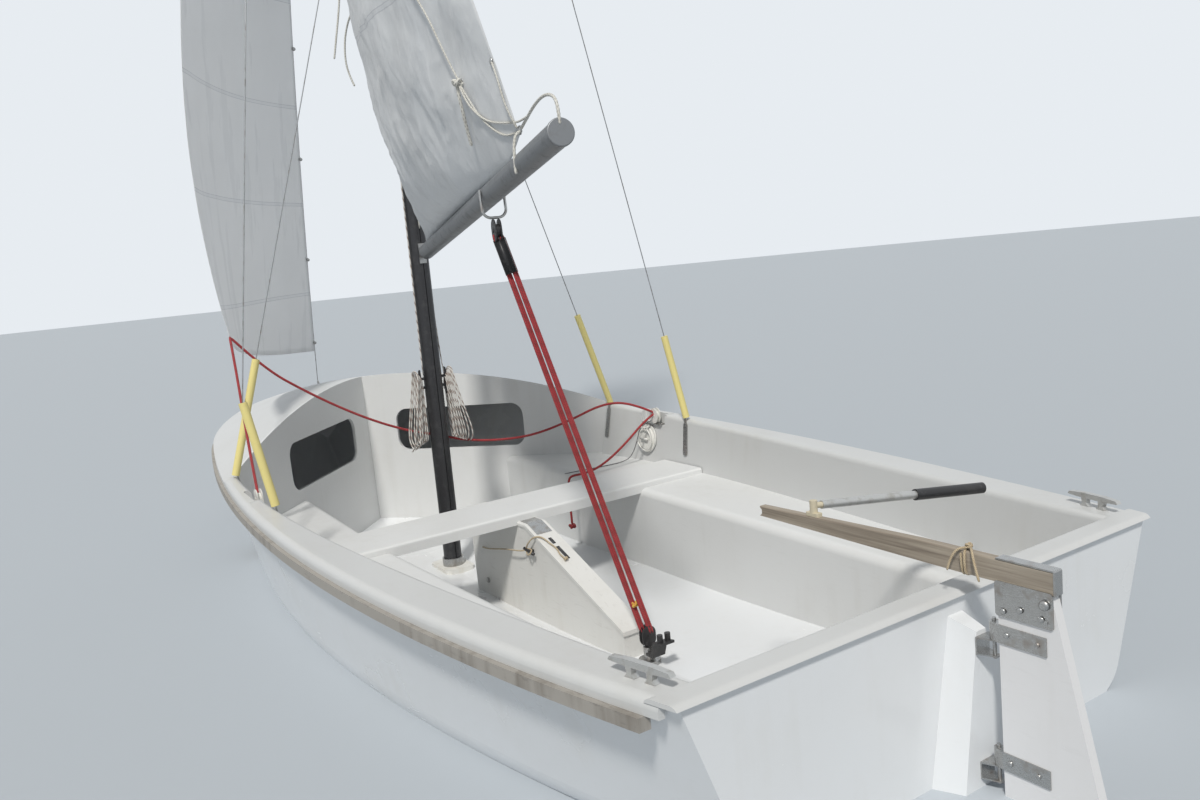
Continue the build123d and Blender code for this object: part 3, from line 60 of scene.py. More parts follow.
view_right = Vector((-0.53725, -0.83776, -0.09761))
view_down = Vector((-0.07234, 0.16108, -0.98429))
view_forward = Vector((0.84032, -0.52175, -0.14714))
view_turn = Matrix((view_right, -view_down, -view_forward)).transposed()
camera.matrix_world = Matrix.Translation(CAMERA_PLACE) @ view_turn.to_4x4()
bpy.context.scene.collection.objects.link(camera)
bpy.context.scene.camera = camera

# Studio
# A pale floor at the height of the still water, open where the hull stands in it, with
# a broad soft lamp from aft and port and an even pale surround.
FLOOR_SIZE = 60.0
TRANSOM_PLACE = -2.1801
HALF_WALL = 0.005
FLOOR_COLOUR = (0.46, 0.50, 0.54, 1)
SURROUND = (0.80, 0.84, 0.88, 1)
SKY_COLOUR = (0.92, 0.96, 1.0, 1)
SKY_STRENGTH = 0.36
SUN_FROM = (-0.60, 0.56, 1.0)
SUN_STRENGTH = 2.65
SUN_WIDTH = math.radians(7)
RING_STEP = 0.012


def waterline_outline():
    """Points of the hull's outer skin at the floor's height, a little inside its wall."""
    cut = bmesh.new()
    cut.from_mesh(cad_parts["hull_shell"].data)
    everything = cut.verts[:] + cut.edges[:] + cut.faces[:]
    found = bmesh.ops.bisect_plane(cut, geom=everything, plane_co=(0, 0, 0), plane_no=(0, 0, 1))
    points = [e.co.xy for e in found["geom_cut"] if isinstance(e, bmesh.types.BMVert)]
    points = [p.copy() for p in points if p.x >= TRANSOM_PLACE]
    cut.free()
    ring = [points[i] for i in geometry.convex_hull_2d(points)]
    ring = [p for i, p in enumerate(ring) if (p - ring[i - 1]).length > RING_STEP]
    inside = []
    for i, point in enumerate(ring):
        along = (ring[(i + 1) % len(ring)] - ring[i - 1]).normalized()
        inside.append(point + Vector((-along.y, along.x)) * HALF_WALL)
    return [Vector((p.x, p.y, 0)) for p in inside]


floor_mesh = bmesh.new()
hull_ring = [floor_mesh.verts.new(p) for p in waterline_outline()]
outer_ring = []
for vert in hull_ring:
    turn = math.atan2(vert.co.y, vert.co.x)
    outer_ring.append(
        floor_mesh.verts.new((FLOOR_SIZE * math.cos(turn), FLOOR_SIZE * math.sin(turn), 0))
    )
for i in range(len(hull_ring)):
    j = (i + 1) % len(hull_ring)
    floor_mesh.faces.new((hull_ring[i], outer_ring[i], outer_ring[j], hull_ring[j]))
floor_data = bpy.data.meshes.new("floor")
bmesh.ops.recalc_face_normals(floor_mesh, faces=floor_mesh.faces)
floor_mesh.to_mesh(floor_data)
floor_mesh.free()
floor = bpy.data.objects.new("floor", floor_data)
bpy.context.scene.collection.objects.link(floor)
floor_material = bpy.data.materials.new("floor")
floor_material.use_nodes = True
floor_shader = floor_material.node_tree.nodes["Principled BSDF"]
floor_shader.inputs["Base Color"].default_value = FLOOR_COLOUR
floor_shader.inputs["Roughness"].default_value = 0.85
floor_data.materials.append(floor_material)

world = bpy.data.worlds.new("surround")
bpy.context.scene.world = world
world.use_nodes = True
world_nodes = world.node_tree.nodes
world_links = world.node_tree.links
world_nodes["Background"].inputs["Color"].default_value = SKY_COLOUR
world_nodes["Background"].inputs["Strength"].default_value = SKY_STRENGTH
backdrop = world_nodes.new("ShaderNodeBackground")
backdrop.inputs["Color"].default_value = SURROUND
light_path = world_nodes.new("ShaderNodeLightPath")
either_ray = world_nodes.new("ShaderNodeMath")
either_ray.operation = "MAXIMUM"
world_mix = world_nodes.new("ShaderNodeMixShader")
world_links.new(light_path.outputs["Is Camera Ray"], either_ray.inputs[0])
world_links.new(light_path.outputs["Is Glossy Ray"], either_ray.inputs[1])
world_links.new(either_ray.outputs[0], world_mix.inputs[0])
world_links.new(world_nodes["Background"].outputs[0], world_mix.inputs[1])
world_links.new(backdrop.outputs[0], world_mix.inputs[2])
world_links.new(world_mix.outputs[0], world_nodes["World Output"].inputs["Surface"])

lamp_data = bpy.data.lights.new("soft_lamp", "SUN")
lamp_data.energy = SUN_STRENGTH
lamp_data.angle = SUN_WIDTH
lamp_data.color = (1.0, 0.97, 0.92)
lamp = bpy.data.objects.new("soft_lamp", lamp_data)
lamp.rotation_euler = Vector(SUN_FROM).to_track_quat("Z", "Y").to_euler()
bpy.context.scene.collection.objects.link(lamp)
bpy.context.scene.view_settings.view_transform = "Standard"

# Hull and topsides
# The hull is a moulded glass-fibre shell with white gel coat, hand polished and dulled
# by years afloat, with faint streaks, scuffs and yellowed patches.


def node_group(name, inputs):
    """An empty finish group with named inputs, and its entry and exit."""
    group = bpy.data.node_groups.new(name, "ShaderNodeTree")
    for label, value in inputs.items():
        kind = "NodeSocketColor" if isinstance(value, tuple) else "NodeSocketFloat"
        socket = group.interface.new_socket(label, in_out="INPUT", socket_type=kind)
        socket.default_value = value
    for label, kind in (("Colour", "Color"), ("Roughness", "Float"), ("Height", "Float")):
        group.interface.new_socket(label, in_out="OUTPUT", socket_type="NodeSocket" + kind)
    return group, group.nodes.new("NodeGroupInput"), group.nodes.new("NodeGroupOutput")


def add_node(tree, kind, **settings):
    """A node of a kind, with its settings and its input values by name or number."""
    made = tree.nodes.new(kind)
    for key, value in settings.items():
        if key == "inputs":
            for socket, amount in value.items():
                if isinstance(amount, bpy.types.NodeSocket):
                    tree.links.new(amount, made.inputs[socket])
                else:
                    made.inputs[socket].default_value = amount
        else:
            setattr(made, key, value)
    return made


def noise_over(tree, stretch, scale, detail, rough=0.55, turn=(0, 0, 0)):
    """Noise over the object, stretched by a scale along each axis."""
    place = add_node(tree, "ShaderNodeTexCoord").outputs["Object"]
    spread = add_node(
        tree, "ShaderNodeMapping", inputs={"Vector": place, "Scale": stretch, "Rotation": turn}
    ).outputs[0]
    return add_node(
        tree,
        "ShaderNodeTexNoise",
        inputs={"Vector": spread, "Scale": scale, "Detail": detail, "Roughness": rough},
    ).outputs["Fac"]


def ramp_of(tree, value, low, high):
    """Value spread to run from 0 to 1 between two levels."""
    return add_node(
        tree,
        "ShaderNodeMapRange",
        clamp=True,
        inputs={"Value": value, "From Min": low, "From Max": high},
    ).outputs[0]


def maths(tree, operation, first, second=0.0):
    """Result of one sum on two values."""
    return add_node(
        tree, "ShaderNodeMath", operation=operation, inputs={0: first, 1: second}
    ).outputs[0]


def sums_of(tree):
    """Ways to multiply, add and subtract two values in one tree."""
    return [partial(maths, tree, kind) for kind in ("MULTIPLY", "ADD", "SUBTRACT")]


def blend_colours(tree, amount, first, second):
    """Colour between two colours by an amount."""
    return add_node(
        tree, "ShaderNodeMix", data_type="RGBA", inputs={0: amount, 6: first, 7: second}
    ).outputs[2]


# Weathering of a painted or moulded surface.
weathering, entry, leave = node_group(
    "weathering",
    {
        "Colour": (0.8, 0.8, 0.8, 1),
        "Stain Colour": (0.5, 0.45, 0.35, 1),
        "Stain Amount": 0.3,
        "Scuff Amount": 0.3,
        "Gloss": 0.3,
    },
)
times, plus, minus = sums_of(weathering)
streaks = noise_over(weathering, (22, 22, 2.2), 1.0, 4)
clouds = noise_over(weathering, (1, 1, 1), 2.4, 5)
specks = noise_over(weathering, (1, 1, 1), 160, 2)
scratches = noise_over(weathering, (9, 60, 60), 1.6, 3, turn=(0.2, 0.1, 0.3))
stain_mask = times(
    ramp_of(weathering, times(streaks, clouds), 0.27, 0.46),
    entry.outputs["Stain Amount"],
)
scuff_mask = times(ramp_of(weathering, scratches, 0.60, 0.72), entry.outputs["Scuff Amount"])
shaded = blend_colours(
    weathering,
    times(ramp_of(weathering, clouds, 0.35, 0.7), 0.35),
    entry.outputs["Colour"],
    blend_colours(weathering, 0.28, entry.outputs["Colour"], entry.outputs["Stain Colour"]),
)
stained = blend_colours(weathering, stain_mask, shaded, entry.outputs["Stain Colour"])
scuffed = blend_colours(
    weathering,
    times(scuff_mask, 0.45),
    stained,
    blend_colours(weathering, 0.6, entry.outputs["Stain Colour"], (0.2, 0.2, 0.2, 1)),
)
weathering.links.new(scuffed, leave.inputs["Colour"])
rough_part = times(clouds, 0.22)
weathering.links.new(
    plus(plus(entry.outputs["Gloss"], rough_part), times(scuff_mask, 0.25)),
    leave.inputs["Roughness"],
)
weathering.links.new(minus(times(specks, 0.3), scuff_mask), leave.inputs["Height"])


def material_of(name, group, values, bump=0.0004, strength=0.5, **shader_values):
    """Material with one finish group feeding its shader."""
    material = bpy.data.materials.new(name)
    material.use_nodes = True
    tree = material.node_tree
    shader = tree.nodes["Principled BSDF"]
    finish = add_node(tree, "ShaderNodeGroup", node_tree=group, inputs=values)
    for socket, label in (("Base Color", "Colour"), ("Roughness", "Roughness")):
        tree.links.new(finish.outputs[label], shader.inputs[socket])
    relief = add_node(
        tree,
        "ShaderNodeBump",
        inputs={"Height": finish.outputs["Height"], "Distance": bump, "Strength": strength},
    )
    tree.links.new(relief.outputs[0], shader.inputs["Normal"])
    for label, value in shader_values.items():
        shader.inputs[label.replace("_", " ")].default_value = value
    return material


def dress(material, *names):
    """Give CAD nodes a material in place of their plain one."""
    for name in names:
        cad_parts[name].material_slots[0].material = material


def weathered(name, colour, stain, stain_amount, scuff_amount, gloss, bump, **shader_values):
    """Painted or moulded finish with its stains, scuffs and gloss."""
    values = {
        "Colour": colour,
        "Stain Colour": stain,
        "Stain Amount": stain_amount,
        "Scuff Amount": scuff_amount,
        "Gloss": gloss,
    }
    return material_of(name, weathering, values, bump, **shader_values)


topside_gelcoat = weathered(
    "topside_gelcoat",
    (0.78, 0.80, 0.82, 1),
    (0.55, 0.52, 0.44, 1),
    stain_amount=0.12,
    scuff_amount=0.04,
    gloss=0.14,
    bump=0.0003,
    Coat_Weight=0.35,
    Coat_Roughness=0.08,
)
dress(topside_gelcoat, "hull_shell")

# Decks and cockpit mouldings
# The deck cap, seat backs, benches and bulkhead are one glass-fibre moulding in real
# life, in a light grey-white gel coat with a satin finish, dirtier in the corners.
deck_gelcoat = weathered(
    "deck_gelcoat",
    (0.60, 0.61, 0.61, 1),
    (0.44, 0.42, 0.37, 1),
    stain_amount=0.12,
    scuff_amount=0.06,
    gloss=0.30,
    bump=0.0004,
    Coat_Weight=0.10,
    Coat_Roughness=0.3,
)
dress(deck_gelcoat, "foredeck", "side_deck_port", "side_deck_starboard", "stern_deck")
# Painted light: the benches, thwart and bulkhead take a lighter copy of the deck's gel coat, standing
# in for their sunlit tops.
sunlit_bench_gelcoat = weathered(
    "sunlit_bench_gelcoat",
    (0.71, 0.72, 0.72, 1),
    (0.44, 0.42, 0.37, 1),
    stain_amount=0.12,
    scuff_amount=0.08,
    gloss=0.34,
    bump=0.0005,
)
dress(sunlit_bench_gelcoat, "bench_port", "bench_starboard", "thwart", "bow_bulkhead")

# Centreboard case and board
# The case is glass fibre over plywood, painted white, with a lid that slopes aft. The
# board inside is a painted foil, darker where it rubs.
case_paint = weathered(
    "case_paint",
    (0.71, 0.71, 0.69, 1),
    (0.42, 0.38, 0.31, 1),
    stain_amount=0.18,
    scuff_amount=0.30,
    gloss=0.38,
    bump=0.0006,
)
dress(case_paint, "case_side_port", "case_side_starboard", "case_end_posts", "case_lid")
board_paint = weathered(
    "board_paint",
    (0.70, 0.70, 0.66, 1),
    (0.30, 0.31, 0.25, 1),
    stain_amount=0.25,
    scuff_amount=0.35,
    gloss=0.4,
    bump=0.0008,
)
dress(board_paint, "centreboard")

# Stainless fittings
# Plates, tangs, straps and pins are stainless steel sheet and rod, brushed by use, with
# brown bleeding where salt has sat against them.
metal_finish, entry, leave = node_group(
    "metal_finish",
    {
        "Colour": (0.6, 0.6, 0.6, 1),
        "Grime Colour": (0.2, 0.12, 0.06, 1),
        "Grime Amount": 0.3,
        "Gloss": 0.3,
    },
)
times, plus, minus = sums_of(metal_finish)
blotches = noise_over(metal_finish, (1, 1, 1), 38, 5)
brushing = noise_over(metal_finish, (60, 900, 900), 1, 2)
grime = times(ramp_of(metal_finish, blotches, 0.52, 0.68), entry.outputs["Grime Amount"])
metal_finish.links.new(
    blend_colours(
        metal_finish,
        grime,
        blend_colours(
            metal_finish,
            times(brushing, 0.35),
            entry.outputs["Colour"],
            (0.25, 0.25, 0.26, 1),
        ),
        entry.outputs["Grime Colour"],
    ),
    leave.inputs["Colour"],
)
metal_finish.links.new(
    plus(entry.outputs["Gloss"], plus(times(brushing, 0.15), times(grime, 0.4))),
    leave.inputs["Roughness"],
)
metal_finish.links.new(plus(brushing, times(grime, -0.6)), leave.inputs["Height"])


def metal(name, colour, grime, grime_amount, gloss, bump, metallic):
    """Metal finish with its grime, brushing and gloss."""
    values = {"Colour": colour, "Grime Colour": grime, "Grime Amount": grime_amount, "Gloss": gloss}
    return material_of(name, metal_finish, values, bump, Metallic=metallic)


stainless = metal(
    "stainless",
    (0.46, 0.46, 0.45, 1),
    (0.20, 0.12, 0.06, 1),
    grime_amount=0.35,
    gloss=0.20,
    bump=0.0002,
    metallic=0.92,
)
dress(
    stainless,
    "case_plate",
    "pivot_bolt",
    "mast_collar",
    "mast_tangs",
    "stem_fitting",
    "chainplates_port",
    "chainplates_starboard",
    "gooseneck",
    "boom_bail",
    "mainsheet_base",
    "fairlead_plates",
    "transom_hangers",
    "rudder_straps",
    "rudder_cheeks",
    "tiller_strap",
)
stranded_wire = metal(
    "stranded_wire",
    (0.36, 0.37, 0.38, 1),
    (0.12, 0.09, 0.06, 1),
    grime_amount=0.5,
    gloss=0.32,
    bump=0.0004,
    metallic=0.85,
)
dress(stranded_wire, "forestay", "shrouds_port", "shrouds_starboard")

# Mast
# A black anodised aluminium tube with a luff groove up its after side, scratched by
# halyards and dulled where hands hold it.
black_anodised = metal(
    "black_anodised",
    (0.012, 0.012, 0.014, 1),
    (0.10, 0.10, 0.10, 1),
    grime_amount=0.35,
    gloss=0.28,
    bump=0.0002,
    metallic=0.6,
)
dress(black_anodised, "mast", "mast_cap")

# White mouldings
# The mast's step, the inspection hatch and the jib sheets' blocks are white plastic,
# yellowed by sun and scuffed.
white_moulding = weathered(
    "white_moulding",
    (0.74, 0.74, 0.71, 1),
    (0.45, 0.38, 0.26, 1),
    stain_amount=0.4,
    scuff_amount=0.4,
    gloss=0.32,
    bump=0.0003,
)
dress(white_moulding, "mast_step", "inspection_hatch", "jib_block_port", "jib_block_starboard")

# Shroud tubes
# Plastic pipe slipped over the feet of the shrouds keeps the jib's sheets from
# catching. It was once bright yellow and is bleached by sun.
tube_plastic = weathered(
    "tube_plastic",
    (0.78, 0.68, 0.27, 1),
    (0.52, 0.42, 0.20, 1),
    stain_amount=0.22,
    scuff_amount=0.22,
    gloss=0.45,
    bump=0.0005,
)
dress(tube_plastic, "shroud_tubes_port", "shroud_tubes_starboard")

# Boom
# A grey anodised aluminium tube with a plugged end, weathered to a matt bloom. A
# toggle at its fore end joins it to the gooseneck.
boom_alloy = metal(
    "boom_alloy",
    (0.23, 0.24, 0.25, 1),
    (0.14, 0.13, 0.12, 1),
    grime_amount=0.25,
    gloss=0.38,
    bump=0.0003,
    metallic=0.7,
)
dress(boom_alloy, "boom", "boom_toggle", "boom_end_cap")

# Cleats and tiller extension
# The horn cleats on the deck's after corners are cast, and the tiller's extension is a
# drawn tube. Both are bare aluminium, dulled by salt.
cast_alloy = metal(
    "cast_alloy",
    (0.60, 0.60, 0.58, 1),
    (0.25, 0.22, 0.18, 1),
    grime_amount=0.4,
    gloss=0.34,
    bump=0.0006,
    metallic=0.75,
)
dress(cast_alloy, "quarter_cleats", "tiller_extension")

# Blocks, cam and grip
# The sheet blocks, the cam and the mast's small cleats are black moulded plastic, and
# the extension's grip is black foam.
black_plastic = weathered(
    "black_plastic",
    (0.02, 0.02, 0.022, 1),
    (0.12, 0.11, 0.10, 1),
    stain_amount=0.4,
    scuff_amount=0.5,
    gloss=0.35,
    bump=0.0003,
)
dress(
    black_plastic,
    "mainsheet_upper_block",
    "mainsheet_lower_block",
    "cam_cleat",
    "extension_grip",
    "halyard_cleats",
)

# Extension joint
# A cream rubber joint, grimy from use, holds the extension to the tiller and lets it
# swing any way.
joint_rubber = weathered(
    "joint_rubber",
    (0.62, 0.56, 0.42, 1),
    (0.20, 0.16, 0.11, 1),
    stain_amount=0.4,
    scuff_amount=0.3,
    gloss=0.5,
    bump=0.0004,
)
dress(joint_rubber, "extension_joint")

# Rudder and tiller
# The blade is painted white over plywood and hangs on the transom by its straps. The
# tiller is hardwood gone grey.
blade_paint = weathered(
    "blade_paint",
    (0.76, 0.76, 0.77, 1),
    (0.42, 0.38, 0.32, 1),
    stain_amount=0.10,
    scuff_amount=0.10,
    gloss=0.22,
    bump=0.0002,
    Coat_Weight=0.2,
    Coat_Roughness=0.15,
)
dress(blade_paint, "rudder_blade")
wood_grain, entry, leave = node_group(
    "wood_grain",
    {"Light Colour": (0.5, 0.45, 0.38, 1), "Dark Colour": (0.2, 0.16, 0.12, 1), "Gloss": 0.5},
)
times, plus, minus = sums_of(wood_grain)
fibres = noise_over(wood_grain, (5, 260, 190), 1.0, 5, 0.6)
bands = noise_over(wood_grain, (1.6, 30, 44), 1.0, 3)
grain_value = plus(times(fibres, 0.55), times(bands, 0.45))
wood_grain.links.new(
    blend_colours(
        wood_grain,
        ramp_of(wood_grain, grain_value, 0.36, 0.62),
        entry.outputs["Dark Colour"],
        entry.outputs["Light Colour"],
    ),
    leave.inputs["Colour"],
)
wood_grain.links.new(plus(entry.outputs["Gloss"], times(fibres, 0.2)), leave.inputs["Roughness"])
wood_grain.links.new(fibres, leave.inputs["Height"])
grey_wood = material_of(
    "grey_wood",
    wood_grain,
    {
        "Light Colour": (0.42, 0.365, 0.295, 1),
        "Dark Colour": (0.20, 0.165, 0.13, 1),
        "Gloss": 0.55,
    },
    bump=0.0008,
    strength=0.7,
)
dress(grey_wood, "tiller")

# Rubbing strakes
# A rubber bumper is screwed round the gunwale under the deck's lip, scraped grey and
# brown by docks.
strake_rubber = weathered(
    "strake_rubber",
    (0.36, 0.34, 0.31, 1),
    (0.10, 0.08, 0.06, 1),
    stain_amount=0.75,
    scuff_amount=0.7,
    gloss=0.6,
    bump=0.0012,
)
dress(strake_rubber, "rubbing_strake_port", "rubbing_strake_starboard")

# Mainsail
# Woven polyester cloth in horizontal panels, set loose and creased, with its luff along
# the mast's groove and its foot along the boom.
MAST_RAKE = math.radians(1.6)
BOOM_SWING = math.radians(12.95)
BOOM_LIFT = math.radians(5.85)
MAST_FOOT = Vector((0.412, 0, -0.128))
mast_up = Vector((-math.sin(MAST_RAKE), 0, math.cos(MAST_RAKE)))
gooseneck_pin = Vector((0.3089, 0, 1.200))
boom_along = Vector(
    (
        -math.cos(BOOM_LIFT) * math.cos(BOOM_SWING),
        math.cos(BOOM_LIFT) * math.sin(BOOM_SWING),
        math.sin(BOOM_LIFT),
    )
)
boom_side = Vector((math.sin(BOOM_SWING), math.cos(BOOM_SWING), 0))
sail_aft = -boom_side.cross(mast_up).normalized()
sail_out = mast_up.cross(sail_aft).normalized()
if sail_out.y < 0:
    sail_out = -sail_out


def grid_mesh(name, points, columns, rows, uvs, thickness):
    """Closed thin cloth from a grid of points, with its flat measures as UV."""
    mesh = bpy.data.meshes.new(name)
    faces = []
    for row in range(rows - 1):
        for column in range(columns - 1):
            first = row * columns + column
            faces.append((first, first + 1, first + columns + 1, first + columns))
    mesh.from_pydata(points, [], faces)
    layer = mesh.uv_layers.new(name="UVMap")
    for loop in mesh.loops:
        layer.data[loop.index].uv = uvs[loop.vertex_index]
    piece = bpy.data.objects.new(name, mesh)
    bpy.context.scene.collection.objects.link(piece)
    solid = piece.modifiers.new("cloth", "SOLIDIFY")
    solid.thickness = thickness
    solid.offset = 0
    bake_modifiers(piece)
    for polygon in piece.data.polygons:
        polygon.use_smooth = True
    return piece


def bake_modifiers(piece):
    """Turn a piece's modifiers into its mesh."""
    bpy.context.view_layer.update()
    graph = bpy.context.evaluated_depsgraph_get()
    made = bpy.data.meshes.new_from_object(piece.evaluated_get(graph))
    piece.modifiers.clear()
    piece.data = made


# Cloth with a fine weave, soft stains, stitched seams across it and painted shade along its folds.
sail_weave, entry, leave = node_group(
    "sail_weave",
    {
        "Colour": (0.8, 0.8, 0.8, 1),
        "Stain Colour": (0.5, 0.45, 0.35, 1),
        "Panel Height": 0.9,
        "Panel Start": 0.0,
        "Crumple": 1.0,
    },
)
times, plus, minus = sums_of(sail_weave)
flat_place = add_node(sail_weave, "ShaderNodeTexCoord").outputs["UV"]
apart = add_node(sail_weave, "ShaderNodeSeparateXYZ", inputs={0: flat_place})
threads = times(
    maths(sail_weave, "SINE", times(apart.outputs[0], 2600)),
    maths(sail_weave, "SINE", times(apart.outputs[1], 2600)),
)
panel_place = maths(
    sail_weave,
    "FRACT",
    maths(
        sail_weave,
        "DIVIDE",
        minus(apart.outputs[1], entry.outputs["Panel Start"]),
        entry.outputs["Panel Height"],
    ),
)
seam_distance = times(
    maths(sail_weave, "ABSOLUTE", minus(panel_place, 0.5)),
    entry.outputs["Panel Height"],
)
seam_band = maths(sail_weave, "LESS_THAN", seam_distance, 0.009)
seam_thread = maths(
    sail_weave,
    "LESS_THAN",
    maths(sail_weave, "ABSOLUTE", minus(seam_distance, 0.007)),
    0.0012,
)
cloth_clouds = noise_over(sail_weave, (1, 1, 0.6), 1.7, 5)
folds_and_painted_shade = noise_over(sail_weave, (3.5, 9, 0.9), 1.8, 4, turn=(0.3, 0.2, 0.1))
crumple_noise = noise_over(sail_weave, (6, 6, 2.6), 1.5, 3, 0.5, turn=(0.1, 0.5, 0.2))
crumple_ridge = minus(1.0, maths(sail_weave, "ABSOLUTE", times(minus(crumple_noise, 0.5), 5.0)))
crumple_lines = times(
    maths(sail_weave, "POWER", maths(sail_weave, "MAXIMUM", crumple_ridge, 0.0), 2.0),
    entry.outputs["Crumple"],
)
cloth_colour = blend_colours(
    sail_weave,
    times(ramp_of(sail_weave, cloth_clouds, 0.4, 0.75), 0.35),
    entry.outputs["Colour"],
    entry.outputs["Stain Colour"],
)
# Painted shade: the cloth is darkened towards blue grey along its fold lines, which also feed the
# bump.
cloth_colour = blend_colours(
    sail_weave,
    times(ramp_of(sail_weave, folds_and_painted_shade, 0.56, 0.62), 0.16),
    cloth_colour,
    (0.35, 0.36, 0.38, 1),
)
cloth_colour = blend_colours(
    sail_weave, times(seam_band, 0.18), cloth_colour, (0.40, 0.42, 0.46, 1)
)
cloth_colour = blend_colours(
    sail_weave, times(seam_thread, 0.35), cloth_colour, (0.25, 0.26, 0.30, 1)
)
sail_weave.links.new(cloth_colour, leave.inputs["Colour"])
sail_weave.links.new(plus(0.48, times(cloth_clouds, 0.25)), leave.inputs["Roughness"])
sail_weave.links.new(
    plus(
        times(threads, 0.10),
        plus(times(seam_band, 0.5), plus(times(folds_and_painted_shade, 3.0), times(crumple_lines, 5.0))),
    ),
    leave.inputs["Height"],
)
mainsail_cloth = material_of(
    "mainsail_cloth",
    sail_weave,
    {
        "Colour": (0.66, 0.68, 0.70, 1),
        "Stain Colour": (0.48, 0.47, 0.44, 1),
        "Panel Height": 0.86,
        "Panel Start": 0.30,
        "Crumple": 0.38,
    },
    bump=0.0012,
    strength=0.8,
    Sheen_Weight=0.15,
)

BOOM_RISE = math.asin(boom_along.dot(mast_up))
BOOM_RADIUS = 0.0305
LUFF_GAP = 0.014
MAIN_HEAD = 4.715
MAIN_HEAD_WIDTH = 0.095
MAIN_ROACH = 0.120
CLEW_ALONG = 1.590
CLEW_LIFT = 0.045
MAIN_FULLNESS = 0.165
MAIN_TWIST = math.radians(7.0)
TACK_SETBACK = 0.06
CLOTH_THICK = 0.0008
MAIN_COLUMNS = 130
MAIN_ROWS = 230


def above_boom(distance, gap):
    """Sail-plane place at a distance along the boom, a gap above the tube."""
    lift = BOOM_RADIUS + gap
    return (
        distance * math.cos(BOOM_RISE) - lift * math.sin(BOOM_RISE),
        distance * math.sin(BOOM_RISE) + lift * math.cos(BOOM_RISE),
    )


def mainsail_point(across, up):
    """Place on the set mainsail, from luff to leech and from foot to head."""
    tack_u, tack_v = above_boom(LUFF_GAP + TACK_SETBACK, 0.001)
    clew_u, clew_v = above_boom(CLEW_ALONG, CLEW_LIFT)
    ease = max(0.0, 1 - up / 0.02)
    luff_u = LUFF_GAP + (tack_u - LUFF_GAP) * ease
    luff_v = tack_v + (MAIN_HEAD - tack_v) * up
    leech_u = clew_u + (LUFF_GAP + MAIN_HEAD_WIDTH - clew_u) * up + 4 * MAIN_ROACH * up * (1 - up)
    leech_v = clew_v + (MAIN_HEAD - clew_v) * up
    u = luff_u + (leech_u - luff_u) * across
    v = luff_v + (leech_v - luff_v) * across
    near_clew = min(1.0, max(0.0, (1 - across) / 0.08))
    v -= 0.042 * across * near_clew * max(0.0, 1 - up / 0.03)
    chord = leech_u - luff_u
    fullness = MAIN_FULLNESS * min(1.0, up / 0.20) ** 0.42 * (1 - 0.35 * up)
    belly = fullness * chord * 3.9 * across * (1 - across) * (1.5 - across)
    twist = chord * across * math.sin(MAIN_TWIST) * min(1.0, up / 0.22)
    return u, v, belly + twist


points, uvs = [], []
for row in range(MAIN_ROWS):
    up = (row / (MAIN_ROWS - 1)) ** 1.5
    for column in range(MAIN_COLUMNS):
        across = column / (MAIN_COLUMNS - 1)
        u, v, out = mainsail_point(across, up)
        held = min(1.0, across * 9) * min(1.0, (1 - across) * 14 + 0.25) * min(1.0, up * 25)
        folds = noise.noise(Vector((u * 5.0, v * 1.1, 3.1))) * 0.016
        folds += noise.noise(Vector((u * 14.0 + v * 2.5, v * 2.6, 7.7))) * 0.006
        crease = 1 - abs(noise.noise(Vector((u * 6.5 - v * 3.0, v * 3.2 + u * 4.5, 1.3))))
        folds += 0.011 * crease**7 * math.exp(-0.8 * v)
        sharp = 1 - abs(noise.noise(Vector((u * 15.0 + v * 6.0, v * 7.0 - u * 9.0, 5.9))))
        folds += 0.0045 * sharp**6 * math.exp(-0.6 * v)
        clew_pull = math.exp(-2.2 * up) * math.sin((v + u * 0.55) * 19) * 0.006 * across
        out += (folds + clew_pull) * held
        points.append(gooseneck_pin + sail_aft * u + mast_up * v + sail_out * out)
        uvs.append((u, v))
mainsail_piece = grid_mesh("mainsail_cloth", points, MAIN_COLUMNS, MAIN_ROWS, uvs, CLOTH_THICK)
mainsail_piece.data.materials.append(mainsail_cloth)
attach(mainsail_piece, "boom")
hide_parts("mainsail")

# Jib
# A lighter sail hanked to the forestay, cut with a high clew that its sheet pulls aft
# to the port side.
jib_cloth = material_of(
    "jib_cloth",
    sail_weave,
    {
        "Colour": (0.86, 0.87, 0.88, 1),
        "Stain Colour": (0.66, 0.66, 0.64, 1),
        "Panel Height": 0.46,
        "Panel Start": 0.38,
        "Crumple": 0.06,
    },
    bump=0.0008,
    strength=0.7,
    Sheen_Weight=0.1,
    Subsurface_Weight=0.8,
    Subsurface_Radius=(1.0, 1.0, 1.0),
    Subsurface_Scale=0.004,
)
STEM_TOP = Vector((2.080, 0, 0.582))
FORESTAY_TOP = Vector((0.4120 - 5.6768 * math.tan(MAST_RAKE) + 0.040, 0, 5.5488))
FORESTAY_SAG = 0.070
JIB_LEECH = (0.950, 5.120)
JIB_LUFF = (0.752, 5.130)
JIB_DEPTH = 0.09
JIB_THICK = 0.0007
JIB_COLUMNS = 60
JIB_ROWS = 150


def forestay_point(z):
    """Place on the sagging forestay at a height."""
    share = (z - STEM_TOP.z) / (FORESTAY_TOP.z - STEM_TOP.z)
    return STEM_TOP.lerp(FORESTAY_TOP, share) + Vector((0, 4 * FORESTAY_SAG * share * (1 - share), 0))


